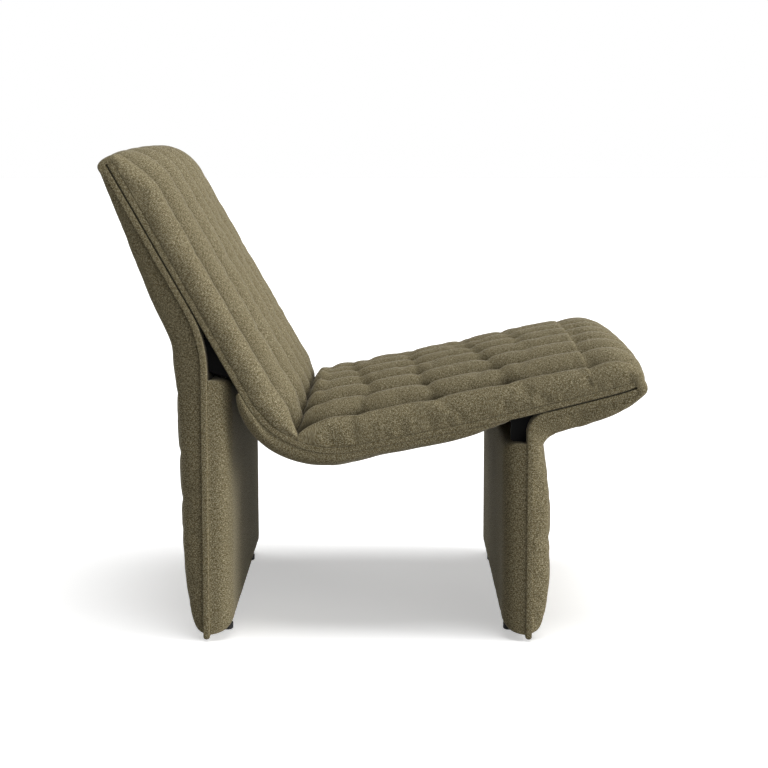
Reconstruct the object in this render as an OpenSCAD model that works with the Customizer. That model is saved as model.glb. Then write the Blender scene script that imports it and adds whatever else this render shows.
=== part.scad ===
// Armless lounge chair: a V-shaped seat shell held by two bent leg panels, padded all round.
// X runs to the chair's front, Y across it and Z up. The origin is on the floor, under the middle.

/* [Panels] */
// Width of the chair over the fabric of its three panels
chair_w = 680; // [600:10:760]
// Thickness of each plywood panel
panel_t = 8; // [6:0.5:10]
// Thickness of the fabric wrapped round each panel
wrap_t = 1; // [0.5:0.25:1.5]
// Width of the dark slit between the shell and a leg panel
slit = 0.6; // [0.3:0.1:1]

/* [Seat shell] */
// Distance behind the origin of the corner where the lines of back and seat meet
corner_back = 144.4; // [120:0.1:160]
// Height above the floor of that corner
corner_up = 283.6; // [260:0.1:310]
// Slope of the back above the horizontal
back_slope = 60.5; // [57:0.5:64]
// Slope of the seat at its rear
seat_slope = 10.3; // [8:0.1:13]
// Radius of the bend between back and seat
bend_r = 150; // [130:1:170]
// Length of the back from the corner to the top
back_len = 526; // [480:1:570]
// Length of the seat from the bend to the front leg's knee
seat_rear_len = 303; // [270:1:340]
// Length of the seat from the front leg's knee to the lip
seat_front_len = 110; // [95:1:130]
// Radius of the slow upward curve of the seat
seat_r = 5300; // [4000:50:8000]
// Length of the upturned lip
lip_len = 40; // [30:1:50]
// Radius of the upturned lip
lip_r = 320; // [250:5:450]

/* [Leg panels] */
// Gap between the floor and the leg panels
foot_gap = 5; // [3:0.5:8]
// Distance along the back from the corner up to the rear leg's knee
rear_knee_up = 276; // [270:1:300]
// Radius of the rear leg panel's knee
rear_knee_r = 200; // [170:1:230]
// Radius of the front leg panel's knee
front_knee_r = 30; // [26:0.5:36]

/* [Pads] */
// Distance of the pads' sides from the panels' edges
pad_inset = 7; // [5:0.5:12]
// Thickness of the back's pad in the middle
back_pad_t = 69; // [55:1:85]
// Thickness of the seat's pad in the middle
seat_pad_t = 77; // [60:1:90]
// Thickness of the seat's pad at the lip
lip_pad_t = 72; // [60:1:85]
// Thickness of the rear leg's outer pad at its knee
rear_pad_t = 49; // [40:1:56]
// Thickness of the rear leg's outer pad above its foot
rear_foot_t = 42; // [34:1:50]
// Thickness of the front leg's outer pad in the middle
front_pad_t = 34; // [28:1:40]
// Thickness of the front leg's outer pad where it reaches the knee
front_knee_t = 23; // [18:1:28]
// Thickness of the legs' inner pads in the middle
inner_pad_t = 35; // [30:1:40]
// Thickness of the underside's pad under the seat
under_pad_t = 20; // [16:1:24]
// Thickness of the underside's pad round the bend
under_bend_t = 32; // [24:1:36]
// Distance from a pad's side to its first channel line
side_band = 38; // [30:1:50]
// Number of channels between the first and the last line
channels = 7; // [5:1:9]
// Depth of the channel lines
groove_d = 8; // [4:0.5:10]
// Depth of the sewn tufts on the channel lines
tuft_d = 9; // [3:0.5:12]
// Distance between the rows of tufts
tuft_pitch = 122; // [100:1:140]
// Reach of a ribbon end's rounding along the panel
cap_reach = 69; // [55:1:85]
// Height of the ribbon over the panels' ends at the top of the back
top_over = 17; // [12:1:24]
// Reach of the ribbon past the panels' ends at the lip
lip_over = 23; // [16:1:30]
// Thickness of the ribbon's cloth and wadding over the foam
quilt_t = 19; // [17:0.5:22]
// Thickness of the plain covers over the foam
cover_t = 5; // [4:0.5:7]
// Gap left round every soft piece
soft_gap = 0.3; // [0.2:0.05:0.5]

/* [Foot rails and glides] */
// Height of a foot rail
rail_h = 36; // [28:1:45]
// Diameter of a glide
glide_d = 18; // [14:1:20]
// Height of a glide
glide_h = 11; // [8:0.5:14]
// Distance of the glides from the panels' edges
glide_inset = 84; // [60:1:120]
// Distance of a glide's middle from its leg panel's face
glide_off = 21; // [18:0.5:22]
// Shank diameter of the wood screws
screw_d = 4; // [3:0.5:5]

/* [Brackets and bolts] */
// Thickness of the bracket steel
steel_t = 3; // [2:0.5:4]
// Width of a bracket
bracket_w = 44; // [36:1:60]
// Distance of the brackets' outer faces from the panels' edges
bracket_inset = 26; // [20:1:40]
// Thread diameter of the bolts
bolt_d = 6; // [5:1:6]
// Diameter of the flat bolt heads
head_d = 13; // [11:0.5:14]
// Height of the flat bolt heads
head_h = 2.8; // [2:0.1:3]
// Diameter of the tee nuts' flanges
flange_d = 18; // [15:0.5:20]
// Thickness of the tee nuts' flanges
flange_t = 1.5; // [1:0.1:2]
// Outer diameter of the tee nuts' barrels
barrel_d = 8.4; // [8:0.1:9]
// Length of the tee nuts' barrels
barrel_len = 5; // [4:0.5:6]
// Distance of the outer bolt columns from the middle
bolt_y = 230; // [180:1:260]

/* [Hidden] */

fabric = [0.42, 0.39, 0.30];
plywood = [0.80, 0.66, 0.46];
foam_colour = [0.93, 0.88, 0.66];
timber = [0.76, 0.60, 0.40];
black = [0.07, 0.07, 0.07];
steel = [0.62, 0.63, 0.65];

// Angle in degrees of an arc of this length and radius
function arc_angle(length, radius) = length / radius * 180 / PI;

// A track is [start, parts]: the start is [x, z, heading] and a part is [length, radius].
// A radius of 0 is straight, above 0 turns left and below 0 turns right.
function moved(p, length, radius) =
    let (turn = radius == 0 ? 0 : arc_angle(length, radius),
         chord = radius == 0 ? length : 2 * radius * sin(turn / 2))
    [p[0] + chord * cos(p[2] + turn / 2), p[1] + chord * sin(p[2] + turn / 2), p[2] + turn];
function follow(p, parts, s, i = 0) =
    s <= parts[i][0] || i == len(parts) - 1
    ? moved(p, s, parts[i][1])
    : follow(moved(p, parts[i][0], parts[i][1]), parts, s - parts[i][0], i + 1);
function at(track, s) = follow(track[0], track[1], s);
function track_len(track, i = 0) = i == len(track[1]) ? 0 : track[1][i][0] + track_len(track, i + 1);

// Place at this distance to the left of a point of a track
function beside(p, d) = [p[0] - d * sin(p[2]), p[1] + d * cos(p[2])];
// Distances along a track at which its outline needs a corner, and the widest steps between them
stop_angle = 3.5;
stop_len = 45;
function stops(parts, i = 0, from = 0) =
    i == len(parts) ? [from] :
    let (steps = parts[i][1] == 0 ? 1
             : ceil(max(abs(arc_angle(parts[i][0], parts[i][1])) / stop_angle, parts[i][0] / stop_len)))
    concat([for (k = [0:steps - 1]) from + parts[i][0] * k / steps],
           stops(parts, i + 1, from + parts[i][0]));
function reversed(list) = [for (i = [len(list) - 1:-1:0]) list[i]];

// Thickness of a wrapped panel, and half of it
wrapped_t = panel_t + 2 * wrap_t;
face = wrapped_t / 2;
// Distance between the middles of two panels that lie together
lap = wrapped_t + slit;
// Distance of a pad's base from the middle of its panel
pad_base = face + soft_gap;

// The seat shell's track runs from the top of the back, through the bend, to the lip
bend_tangent = bend_r * tan((back_slope + seat_slope) / 2);
bend_len = bend_r * (back_slope + seat_slope) * PI / 180;
straight_back = back_len - bend_tangent;
shell_start = [-corner_back - back_len * cos(back_slope), corner_up + back_len * sin(back_slope), -back_slope];
shell_parts = [[straight_back, 0], [bend_len, bend_r],
               [seat_rear_len + seat_front_len, seat_r], [lip_len, lip_r]];
shell = [shell_start, shell_parts];
shell_len = track_len(shell);
knee_s = straight_back + bend_len + seat_rear_len;

// The rear leg's track runs from the top of the back down to the floor
rear_lap = back_len - rear_knee_up;
rear_start = concat(beside(shell_start, -lap), [-back_slope]);
rear_knee_len = rear_knee_r * (90 - back_slope) * PI / 180;
rear_knee_end = follow(rear_start, [[rear_lap, 0], [rear_knee_len, -rear_knee_r]], rear_lap + rear_knee_len);
rear_parts = [[rear_lap, 0], [rear_knee_len, -rear_knee_r], [rear_knee_end[1] - foot_gap, 0]];
rear_leg = [rear_start, rear_parts];
rear_len = track_len(rear_leg);
rear_x = rear_knee_end[0];

// The front leg's track runs from the floor up to its knee, then under the seat to the lip
knee_top = concat(beside(at(shell, knee_s), -lap), [at(shell, knee_s)[2]]);
knee_turn = 90 - knee_top[2];
front_x = knee_top[0] - front_knee_r * (1 - sin(knee_top[2]));
front_rise = knee_top[1] - front_knee_r * cos(knee_top[2]) - foot_gap;
front_knee_len = front_knee_r * knee_turn * PI / 180;
front_parts = [[front_rise, 0], [front_knee_len, -front_knee_r],
               [seat_front_len * (seat_r + lap) / seat_r, seat_r + lap],
               [lip_len * (lip_r + lap) / lip_r, lip_r + lap]];
front_leg = [[front_x, foot_gap, 90], front_parts];
front_len = track_len(front_leg);

// Half the width of the pads at their base, and at their fullest
side_bulge = 4;
pad_half = chair_w / 2 - pad_inset;
pad_full = pad_half + side_bulge;
// Distance of the first channel line from the middle, and the pitch of the lines
line_y = pad_full - side_band;
channel_w = 2 * line_y / channels;
// Distance of a foam slab's side from the middle
foam_inset = 24;
foam_half = pad_half - foam_inset;
// Clearance of bolts in their holes, and of pieces that seat in recesses
hole_play = 0.3;
thread_play = 0.05;

// Flat outline of a panel between two distances along its track
function strip(track, from, to, low, high) =
    let (inner = [for (s = stops(track[1])) if (s > from + 0.01 && s < to - 0.01) s],
         all = concat([from], inner, [to]))
    concat([for (s = all) beside(at(track, s), high)], reversed([for (s = all) beside(at(track, s), low)]));

module across(width) {
    rotate([90, 0, 0]) linear_extrude(width, center = true) children();
}

module panel(track, from, to) {
    across(chair_w - 2 * wrap_t) polygon(strip(track, from, to, -panel_t / 2, panel_t / 2));
}

// Turns +Z to the left of the track at this point
module on_track(p, y) {
    translate([p[0], y, p[1]]) rotate([0, -p[2], 0]) children();
}

// Triangles of a flat end wall over the stations from start on; keys are the stations of its outline
// without the arches between channel lines, which are cut off first.
function end_wall(start, keys) =
    let (m = len(keys), mid = floor(m / 2), a = start + keys[0], b = start + keys[m - 1])
    concat(
        [for (i = [0:m - 2]) for (q = [keys[i] + 1:1:keys[i + 1] - 1])
            [start + keys[i], start + q, start + q + 1]],
        [for (i = [1:mid - 1]) [a, start + keys[i], start + keys[i + 1]]],
        [[a, start + keys[mid], b]],
        [for (i = [mid:m - 3]) [start + keys[i], start + keys[i + 1], b]]);
function turned(faces) = [for (f = faces) [f[2], f[1], f[0]]];
function quad(a, b, c, d) = [[a, b, c], [a, c, d]];

// Closed form from rows of points; each row starts and ends on the base.
// The foam's pocket, where there is one, has a row beside each row from first on.
module sewn_form(rows, keys, pocket = [], first = 0) {
    n = len(rows);
    c = len(rows[0]);
    p = len(pocket);
    k = p == 0 ? 0 : len(pocket[0]);
    last = first + p - 1;
    hole = n * c;
    points = concat([for (r = rows) each r], [for (r = pocket) each r]);
    skin = [for (i = [0:n - 2]) for (j = [0:c - 2])
        each quad(i * c + j, (i + 1) * c + j, (i + 1) * c + j + 1, i * c + j + 1)];
    ends = concat(end_wall(0, keys), turned(end_wall((n - 1) * c, keys)));
    base = [for (i = [0:n - 2])
        let (a = i * c, b = a + c - 1, d = b + 1, e = d + c - 1, q = hole + (i - first) * k)
        each p == 0 || i + 1 < first || i > last ? quad(a, b, e, d) :
        i + 1 == first ? concat(quad(a, b, e, hole + k - 1), quad(a, hole + k - 1, hole, d)) :
        i == last ? concat(quad(d, a, q, q + k - 1), quad(d, q + k - 1, b, e)) :
        concat(quad(a, q, q + k, d), quad(q + k - 1, b, e, q + 2 * k - 1))];
    pocket_keys = [for (j = [0:max(k, 1) - 1]) j];
    lining = p == 0 ? [] : concat(
        [for (i = [0:p - 2]) for (j = [0:k - 2])
            let (q = hole + i * k + j) each quad(q, q + 1, q + k + 1, q + k)],
        turned(end_wall(hole, pocket_keys)), end_wall(hole + (p - 1) * k, pocket_keys));
    polyhedron(points, concat(skin, ends, base, lining), convexity = 6);
}

// Height of a pad's section at y, as a share of its middle, above a shoulder of this share
crown_power = 2.5;
function crown(y, shoulder) = shoulder + (1 - shoulder) * (1 - pow(min(abs(y) / pad_full, 1), crown_power));

// Stations of a pad's side: [distance from the middle, share of the height]
side_steps = [[pad_half, 0], [pad_full, 0.3], [pad_full - 7, 0.78]];
// Places of the stations between two channel lines, as shares of the pitch
arch_steps = [0.28, 0.72];
// Stations across a ribbon pad: [y, share of the height, 1 on a channel line]
quilt_stations = concat(
    [for (s = side_steps) [-s[0], s[1], 0]],
    [for (k = [0:channels]) each concat([[k * channel_w - line_y, 1, 1]],
        k == channels ? [] : [for (q = arch_steps) [(k + q) * channel_w - line_y, 1, 0]])],
    [for (s = reversed(side_steps)) [s[0], s[1], 0]]);
// Stations across a plain pad
plain_stations = concat(
    [for (s = side_steps) [-s[0], s[1], 0]],
    [for (q = [-0.8, 0, 0.8]) [q * line_y, 1, 0]],
    [for (s = reversed(side_steps)) [s[0], s[1], 0]]);
// Stations across a foam slab: [share of half its width, 1 at its top]
foam_stations = [[-1, 0], [-1, 1], [-0.6, 1], [0, 1], [0.6, 1], [1, 1], [1, 0]];

// Stations that an end wall keeps once the arches of its channels are cut off
first_line = len(side_steps);
quilt_keys = concat(
    [for (j = [0:first_line - 1]) j],
    [for (k = [0:channels]) first_line + (len(arch_steps) + 1) * k],
    [for (j = [1:len(side_steps)]) first_line + (len(arch_steps) + 1) * channels + j]);
plain_keys = [for (j = [0:len(plain_stations) - 1]) j];
foam_keys = [for (j = [0:len(foam_stations) - 1]) j];

// A pad's row is [base point, crest point, shoulder share, side share left at a crease, tuft share]
function thickness(row) = norm(row[1] - row[0]);
function lifted(row, y, share) =
    let (p = row[0] + share * (row[1] - row[0])) [p[0], y, p[1]];
crease_power = 1.6;
function crease_left(row, y) = 1 - (1 - row[3]) * pow(min(abs(y) / pad_full, 1), crease_power);
// Deepest groove and tuft as shares of the thickness, and share of a tuft that dents the arches beside it
groove_most = 0.42;
tuft_most = 0.2;
tuft_dent = 0.35;
function quilt_row(row) =
    let (t = thickness(row))
    [for (s = quilt_stations)
        let (tuft = min(tuft_d / t, tuft_most) * row[4],
             dip = s[2] == 1 ? min(groove_d / t, groove_most) + tuft : tuft_dent * tuft,
             share = s[1] * (crown(s[0], row[2]) * crease_left(row, s[0]) - (s[1] == 1 ? dip : 0)))
        lifted(row, s[0], share)];
function plain_row(row) =
    [for (s = plain_stations) lifted(row, s[0], s[1] * crown(s[0], row[2]) * crease_left(row, s[0]))];
// Rows of a foam slab, or with a gap of the pocket that holds it; cover is what lies over it
function foam_rows(rows, first, last, cover, gap) =
    [for (i = [first:last]) let (row = rows[i], t = thickness(row), half = foam_half + gap)
        [for (s = foam_stations)
            let (share = crown(half * s[0], row[2]) * crease_left(row, half) - (cover - gap) / t)
            lifted(row, half * s[0], s[1] * share)]];

// Share that is left of the height near a form's end, over this reach
function near_end(d, reach) = pow(max(0, 1 - d / reach), 2);
// Share of a tuft's depth at this distance from the middle of its row
tuft_w = 15;
function tuft_share(d) = exp(-pow(d / tuft_w, 2));

// Crest and base points over the ends of a shell and a leg panel that lie together.
// a is the distance beyond the panels' end and h the height over the middle of the shell.
function cap_point(p, dir, a, h) = beside([p[0] + dir * a * cos(p[2]), p[1] + dir * a * sin(p[2]), p[2]], h);
// curve is 1 for an ellipse, less for a fuller end. lift raises the shoulders and fall drops the last one.
cap_front_steps = 6;
cap_rear_steps = 3;
join_h = -lap - pad_base;
join_t = 6;
function cap_rows(s, dir, crown_t, curve, over, lift, fall) =
    let (b = crown_t + face, p = at(shell, s))
    concat(
        [for (m = [1:cap_front_steps]) let (q = 90 * m / cap_front_steps, back = 1 - m / (cap_front_steps - 1))
            [back > 0 ? beside(at(shell, s - dir * cap_reach * back), pad_base)
                : cap_point(p, dir, soft_gap, back == 0 ? pad_base : 0),
             cap_point(p, dir, -cap_reach + (cap_reach + over) * pow(sin(q), curve), b * pow(cos(q), curve)),
             side_share + lift * sin(2 * q) - fall * pow(q / 90, 3), 1, 0]],
        [for (m = [1:cap_rear_steps]) let (q = 90 * m / cap_rear_steps)
            [cap_point(p, dir, soft_gap, join_h * m / cap_rear_steps),
             cap_point(p, dir, soft_gap + (over - soft_gap) * cos(q), (join_h - join_t) * sin(q)),
             side_share - fall + (1 - side_share + fall) * m / cap_rear_steps, 1, 0]]);

// Part of the bend that the back's pad covers, and the crease where the two pads meet
crease_turn = 38;
crease_s = straight_back + bend_r * crease_turn * PI / 180;
bend_end_s = straight_back + bend_len;
crease_reach = 60;
crease_side = 0.3;
// Distance by which the crease's top edge lies nearer to the back than its foot
crease_lean = 16;
// Share of a ribbon pad's height that is left at its sides
side_share = 0.62;
// Thickness on the bend at which a pad's crest runs on straight from the end of the bend that is named
function bend_t(s, t, from) =
    s > straight_back && s < bend_end_s
    ? bend_r - face - (bend_r - face - t) / cos(arc_angle(s - from, bend_r))
    : t;
function shell_row(s, t, from, d, tuft) =
    let (near = near_end(d, crease_reach), q = s - crease_lean * near)
    [beside(at(shell, s), pad_base), beside(at(shell, q), face + bend_t(q, t, from)),
     side_share, 1 - (1 - crease_side) * near, tuft];

back_bend_rows = 5;
back_flat_rows = 12;
back_rows = concat(
    [for (k = [0:back_bend_rows]) let (s = crease_s + (straight_back - crease_s) * k / back_bend_rows)
        shell_row(s - (k == 0 ? soft_gap / 2 : 0), back_pad_t, straight_back, crease_s - s, 0)],
    [for (k = [1:back_flat_rows]) let (s = straight_back + (cap_reach - straight_back) * k / back_flat_rows)
        shell_row(s, back_pad_t, straight_back, crease_s - s, 0)],
    cap_rows(0, -1, back_pad_t, 0.88, top_over, -0.1, 0.32));
// First and last row of the back's foam
back_foam_rows = [2, back_bend_rows + back_flat_rows + 2];

seat_bend_rows = 4;
seat_flat_rows = 20;
seat_flat_len = seat_rear_len + seat_front_len + lip_len - cap_reach;
// Distance over which the seat's pad thins towards the lip
lip_thinning = 140;
// Distance from the lip of the first row of tufts
tuft_from_lip = 84;
function seat_tufts(s) = max([for (k = [0:3]) tuft_share(shell_len - s - tuft_from_lip - k * tuft_pitch)]);
seat_rows = reversed(concat(
    [for (k = [0:seat_bend_rows]) let (s = crease_s + (bend_end_s - crease_s) * k / seat_bend_rows)
        shell_row(s + (k == 0 ? soft_gap / 2 : 0), seat_pad_t, bend_end_s, s - crease_s, 0)],
    [for (k = [1:seat_flat_rows]) let (s = bend_end_s + seat_flat_len * k / seat_flat_rows)
        shell_row(s, seat_pad_t - (seat_pad_t - lip_pad_t) * near_end(shell_len - cap_reach - s, lip_thinning),
                  bend_end_s, s - crease_s, seat_tufts(s))],
    cap_rows(shell_len, 1, lip_pad_t, 0.92, lip_over, 0.1, 0.17)));
// First and last row of the seat's foam
seat_foam_rows = [cap_front_steps + cap_rear_steps - 2, len(seat_rows) - 3];

// Thickness of the rear leg's outer pad at this distance along its track
rear_swell = 290;
rear_foot_round = 140;
pad_foot = 8;
function foot_share(d, round) = sqrt(1 - pow(1 - min(max(d, 0) / round, 1), 2));
function swell(s, length) =
    let (up = min(s / rear_swell, 1),
         along = max(0, min((s - rear_swell) / (length - rear_foot_round - rear_swell), 1)),
         full = rear_pad_t + (rear_foot_t - rear_pad_t) * along)
    join_t + (full - join_t) * up * up * (3 - 2 * up) * foot_share(length - s, rear_foot_round);
rear_outer_steps = 19;
rear_outer_len = rear_len - pad_foot;
// Height above the floor of the legs' rows of tufts
leg_tuft_up = 215;
// Share of the legs' outer pads' height that is left at their sides
leg_side_share = 0.78;
function rear_outer_row(s) =
    let (p = at(rear_leg, s))
    [beside(p, -pad_base), beside(p, -pad_base - swell(s, rear_outer_len)),
     leg_side_share + (1 - leg_side_share) * near_end(s, rear_swell), 1, tuft_share(p[1] - leg_tuft_up)];
rear_outer_rows = [for (k = [0:rear_outer_steps]) rear_outer_row(rear_outer_len * k / rear_outer_steps)];

// First and last row of its foam
rear_foam_rows = [8, 16];

// The front leg's outer pad turns a sharp hollow corner under the knee
hollow_r = 14;
knee_s0 = front_rise;
knee_s1 = front_rise + front_knee_len;
hollow_x = front_x + pad_base + front_knee_t + hollow_r;
hollow_centre = [hollow_x, knee_top[1]
    + ((hollow_x - knee_top[0]) * sin(knee_top[2]) - pad_base - front_pad_t - hollow_r) / cos(knee_top[2])];
lip_taper = 75;
front_foot_round = 90;
front_thinning = 90;
function front_thick(s) =
    let (out = max(0, 1 - (front_len - s) / lip_taper),
         up = s < knee_s0 + 1 ? max(0, 1 - (knee_s0 - s) / front_thinning) : 0,
         full = front_pad_t + (front_knee_t - front_pad_t) * up * up * (3 - 2 * up))
    join_t + (full - join_t) * foot_share(s - pad_foot, front_foot_round) * (1 - out * out);
// Heights above the floor of its rows of tufts
front_tufts_up = [leg_tuft_up, 152];
function front_outer_row(s) =
    let (p = at(front_leg, s), t = front_thick(s), bent = s > knee_s0 - 1 && s < knee_s1 + 1,
         n = [sin(p[2]), -cos(p[2])])
    [beside(p, -pad_base), bent ? hollow_centre - hollow_r * n : beside(p, -pad_base - t),
     leg_side_share + (1 - leg_side_share) * near_end(front_len - s, lip_taper), 1,
     s < knee_s0 ? max([for (z = front_tufts_up) tuft_share(p[1] - z)]) : 0];
front_low_steps = 11;
front_knee_steps = 4;
front_lap_steps = 6;
front_outer_stops = concat(
    [for (k = [0:front_low_steps]) pad_foot + (knee_s0 - pad_foot) * k / front_low_steps],
    [for (k = [1:front_knee_steps]) knee_s0 + front_knee_len * k / front_knee_steps],
    [for (k = [1:front_lap_steps]) knee_s1 + (front_len - knee_s1) * k / front_lap_steps]);
front_outer_rows = [for (s = front_outer_stops) front_outer_row(s)];
// First and last row of its foam
front_foam_rows = [3, 8];

// The inner pads stand on the inner faces of the legs, from their feet to the notches.
// Their tops lie over the start of the shell's bend at the rear, and under the knee at the front.
rear_pad_over_bend = 28.6;
front_pad_under_knee = 14.9;
rear_pad_top = at(shell, straight_back)[1] + rear_pad_over_bend;
front_pad_top = foot_gap + front_rise - front_pad_under_knee;
inner_foot = glide_h;
inner_hem = 5;
inner_top_hem = 3;
// Rows of a pad's foot, flank and top: [distance from its end or share of its height, share of its thickness]
inner_foot_rows = [[0, 0.7], [inner_hem, 0.93], [14, 1]];
inner_flank_rows = [[0.35, 1], [0.65, 1]];
inner_top_rows = [[9, 1], [inner_top_hem, 0.95], [0, 0.8]];
inner_side_share = 0.93;
function inner_rows(x, sign, top) =
    let (at_x = x + sign * pad_base, high = top - inner_foot,
         steps = concat(inner_foot_rows, [for (r = inner_flank_rows) [high * r[0], r[1]]],
                        [for (r = inner_top_rows) [high - r[0], r[1]]]))
    [for (s = steps)
        let (up = inner_foot + s[0])
        [[at_x, up], [at_x + sign * inner_pad_t * s[1], up], inner_side_share, 1, 0]];
rear_inner_rows = inner_rows(rear_x, 1, rear_pad_top);
front_inner_rows = inner_rows(front_x, -1, front_pad_top);
// First and last row of the pockets in them
inner_first = 1;
inner_last = len(inner_foot_rows) + len(inner_flank_rows) + len(inner_top_rows) - 2;

// The underside's pad runs from the rear notch to the front one
under_from_bend = 18;
under_from_knee = 56;
under_from = straight_back - under_from_bend;
under_to = knee_s - under_from_knee;
under_bend_steps = 12;
under_flat_steps = 4;
under_hem = 8;
under_side_share = 0.8;
// Share of its thickness that it loses at each end, and the reach of that thinning
under_rear_thin = [0.65, 95];
under_front_thin = [0.45, 40];
function under_row(s) =
    let (p = at(shell, s), on = max(0, min((s - straight_back - bend_len / 3) / bend_len, 1)),
         full = under_bend_t + (under_pad_t - under_bend_t) * on * on * (3 - 2 * on),
         end = 1 - under_rear_thin[0] * near_end(s - under_from, under_rear_thin[1])
             - under_front_thin[0] * near_end(under_to - s, under_front_thin[1]))
    [beside(p, -pad_base), beside(p, -pad_base - full * end), under_side_share, 1, 0];
under_rows = concat(
    [under_row(under_from), under_row(under_from + under_hem)],
    [for (k = [0:under_bend_steps]) under_row(straight_back + bend_len * k / under_bend_steps)],
    [for (k = [1:under_flat_steps])
        under_row(bend_end_s + (under_to - under_hem - bend_end_s) * k / under_flat_steps)],
    [under_row(under_to)]);
// First and last row of its foam
under_foam_rows = [2, len(under_rows) - 4];

// Bolt places: the rear leg on the back, and the front leg under the seat
upper_bolt_s = 70;
lower_bolt_up = 50;
rear_bolt_s = 40;
front_bolt_in = 38;
back_bolt_s = [upper_bolt_s, rear_lap - lower_bolt_up];
seat_bolt_s = [knee_s + rear_bolt_s, shell_len - front_bolt_in];
bolt_ys = [-bolt_y, 0, bolt_y];
// Depth of a recess for a flat head, and length of a bolt through both panels
head_recess = head_h + 0.2;
lap_bolt_len = 2 * wrapped_t + slit - head_recess - flange_t + 0.5;
// Length by which a cutting shape passes the face that it cuts
over_cut = 1;

// Places of a lap bolt: its frame has +Z through both panels, with 0 on the leg panel's outer face
module lap_places(stations) {
    for (s = stations) for (y = bolt_ys)
        on_track(at(shell, s), y) translate([0, 0, -face - lap]) children();
}
module lap_holes(stations) {
    lap_places(stations) {
        translate([0, 0, -over_cut])
            cylinder(d = head_d + 2 * hole_play, h = head_recess + over_cut, $fn = 48);
        cylinder(d = bolt_d + 2 * hole_play, h = 2 * wrapped_t + slit, $fn = 48);
        translate([0, 0, 2 * wrapped_t + slit - flange_t - barrel_len - hole_play])
            cylinder(d = barrel_d + hole_play, h = barrel_len + flange_t + over_cut, $fn = 48);
        translate([0, 0, 2 * wrapped_t + slit - flange_t])
            cylinder(d = flange_d + 2 * hole_play, h = flange_t + over_cut, $fn = 48);
    }
}
socket_d = 0.65 * bolt_d;
socket_floor = 1.2;
module flat_bolt(length) {
    translate([0, 0, -head_h]) difference() {
        cylinder(d = head_d, h = head_h, $fn = 48);
        translate([0, 0, -over_cut]) cylinder(d = socket_d, h = head_h - socket_floor + over_cut, $fn = 6);
    }
    cylinder(d = bolt_d, h = length, $fn = 48);
}
module tee_nut() {
    difference() {
        union() {
            cylinder(d = flange_d, h = flange_t, $fn = 48);
            translate([0, 0, -barrel_len]) cylinder(d = barrel_d, h = barrel_len + flange_t, $fn = 48);
        }
        translate([0, 0, -barrel_len - over_cut])
            cylinder(d = bolt_d + 2 * thread_play, h = barrel_len + flange_t + 2 * over_cut, $fn = 48);
    }
}
module lap_bolts(stations) {
    lap_places(stations) translate([0, 0, head_recess]) flat_bolt(lap_bolt_len);
}
module lap_nuts(stations) {
    lap_places(stations) translate([0, 0, 2 * wrapped_t + slit - flange_t]) tee_nut();
}

// Bracket bolt places: [point on the panel's middle, 1 if the bracket is on its left, offset in y]
rear_bolt_drop = 92;
shell_bolt_rise = 52;
front_bolt_drop = 8;
seat_bolt_back = 38;
rear_notch_s = rear_lap + rear_bolt_drop;
shell_notch_s = straight_back - shell_bolt_rise;
front_notch_s = front_rise - front_bolt_drop;
seat_notch_s = knee_s - seat_bolt_back;
bracket_y = chair_w / 2 - bracket_inset;
bolt_stagger = bracket_w / 4;
bracket_spots = [
    [at(rear_leg, rear_notch_s), 1, bracket_w / 2 - bolt_stagger],
    [at(shell, shell_notch_s), -1, bracket_w / 2 + bolt_stagger],
    [at(front_leg, front_notch_s), 1, bracket_w / 2 - bolt_stagger],
    [at(shell, seat_notch_s), -1, bracket_w / 2 + bolt_stagger]];
// The frame has +Z out of the bracket's side of the panel, with 0 on the panel's face
module bracket_places(spots) {
    for (b = spots) for (side = [-1, 1])
        on_track([b[0][0], b[0][1], b[0][2] + (b[1] == 1 ? 0 : 180)], side * (bracket_y - b[2]))
            translate([0, 0, face]) children();
}
module bracket_holes(spots) {
    bracket_places(spots) {
        translate([0, 0, -wrapped_t - over_cut]) {
            cylinder(d = bolt_d + 2 * hole_play, h = wrapped_t + 2 * over_cut, $fn = 48);
            cylinder(d = barrel_d + hole_play, h = flange_t + barrel_len + hole_play + over_cut, $fn = 48);
            cylinder(d = flange_d + 2 * hole_play, h = flange_t + over_cut, $fn = 48);
        }
    }
}

// Screw places: the glides, and the foot rails' screws through the panels
rail_to_cover = 5;
rail_depth = inner_pad_t - cover_t - rail_to_cover;
glide_y = chair_w / 2 - glide_inset;
glide_xs = [rear_x + face + glide_off, front_x - face - glide_off];
rail_low = inner_foot + inner_hem + soft_gap;
rail_screw_y = foam_half - 39;
rail_screw_ys = [for (k = [-1, -1 / 3, 1 / 3, 1]) k * rail_screw_y];
screw_head_d = 2 * screw_d;
screw_head_h = 0.6 * screw_d;
head_play = 0.2;
module wood_screw(length) {
    cylinder(d1 = screw_head_d, d2 = screw_d, h = screw_head_h, $fn = 48);
    cylinder(d = screw_d, h = length, $fn = 48);
}
module screw_hole(length) {
    cylinder(d1 = screw_head_d + 2 * hole_play, d2 = screw_d + 2 * thread_play,
             h = screw_head_h + head_play, $fn = 48);
    translate([0, 0, -over_cut])
        cylinder(d = screw_d + 2 * thread_play, h = length + over_cut + hole_play, $fn = 48);
    translate([0, 0, -2 * over_cut])
        cylinder(d = screw_head_d + 2 * hole_play, h = 2 * over_cut + 0.01, $fn = 48);
}
rail_screw_len = 26;
screw_sink = 0.4;
// The frame has +Z from the panel's outer face towards the rail
module rail_screw_places(x, sign) {
    for (y = rail_screw_ys)
        translate([x - sign * (face - screw_sink), y, rail_low + rail_h / 2])
            rotate([0, sign * 90, 0]) children();
}
glide_screw_len = 28;
glide_sink = 4;
glide_edge = 2;
module glide_screw_places(xs) {
    for (x = xs) for (side = [-1, 1]) translate([x, side * glide_y, glide_sink]) children();
}

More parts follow.
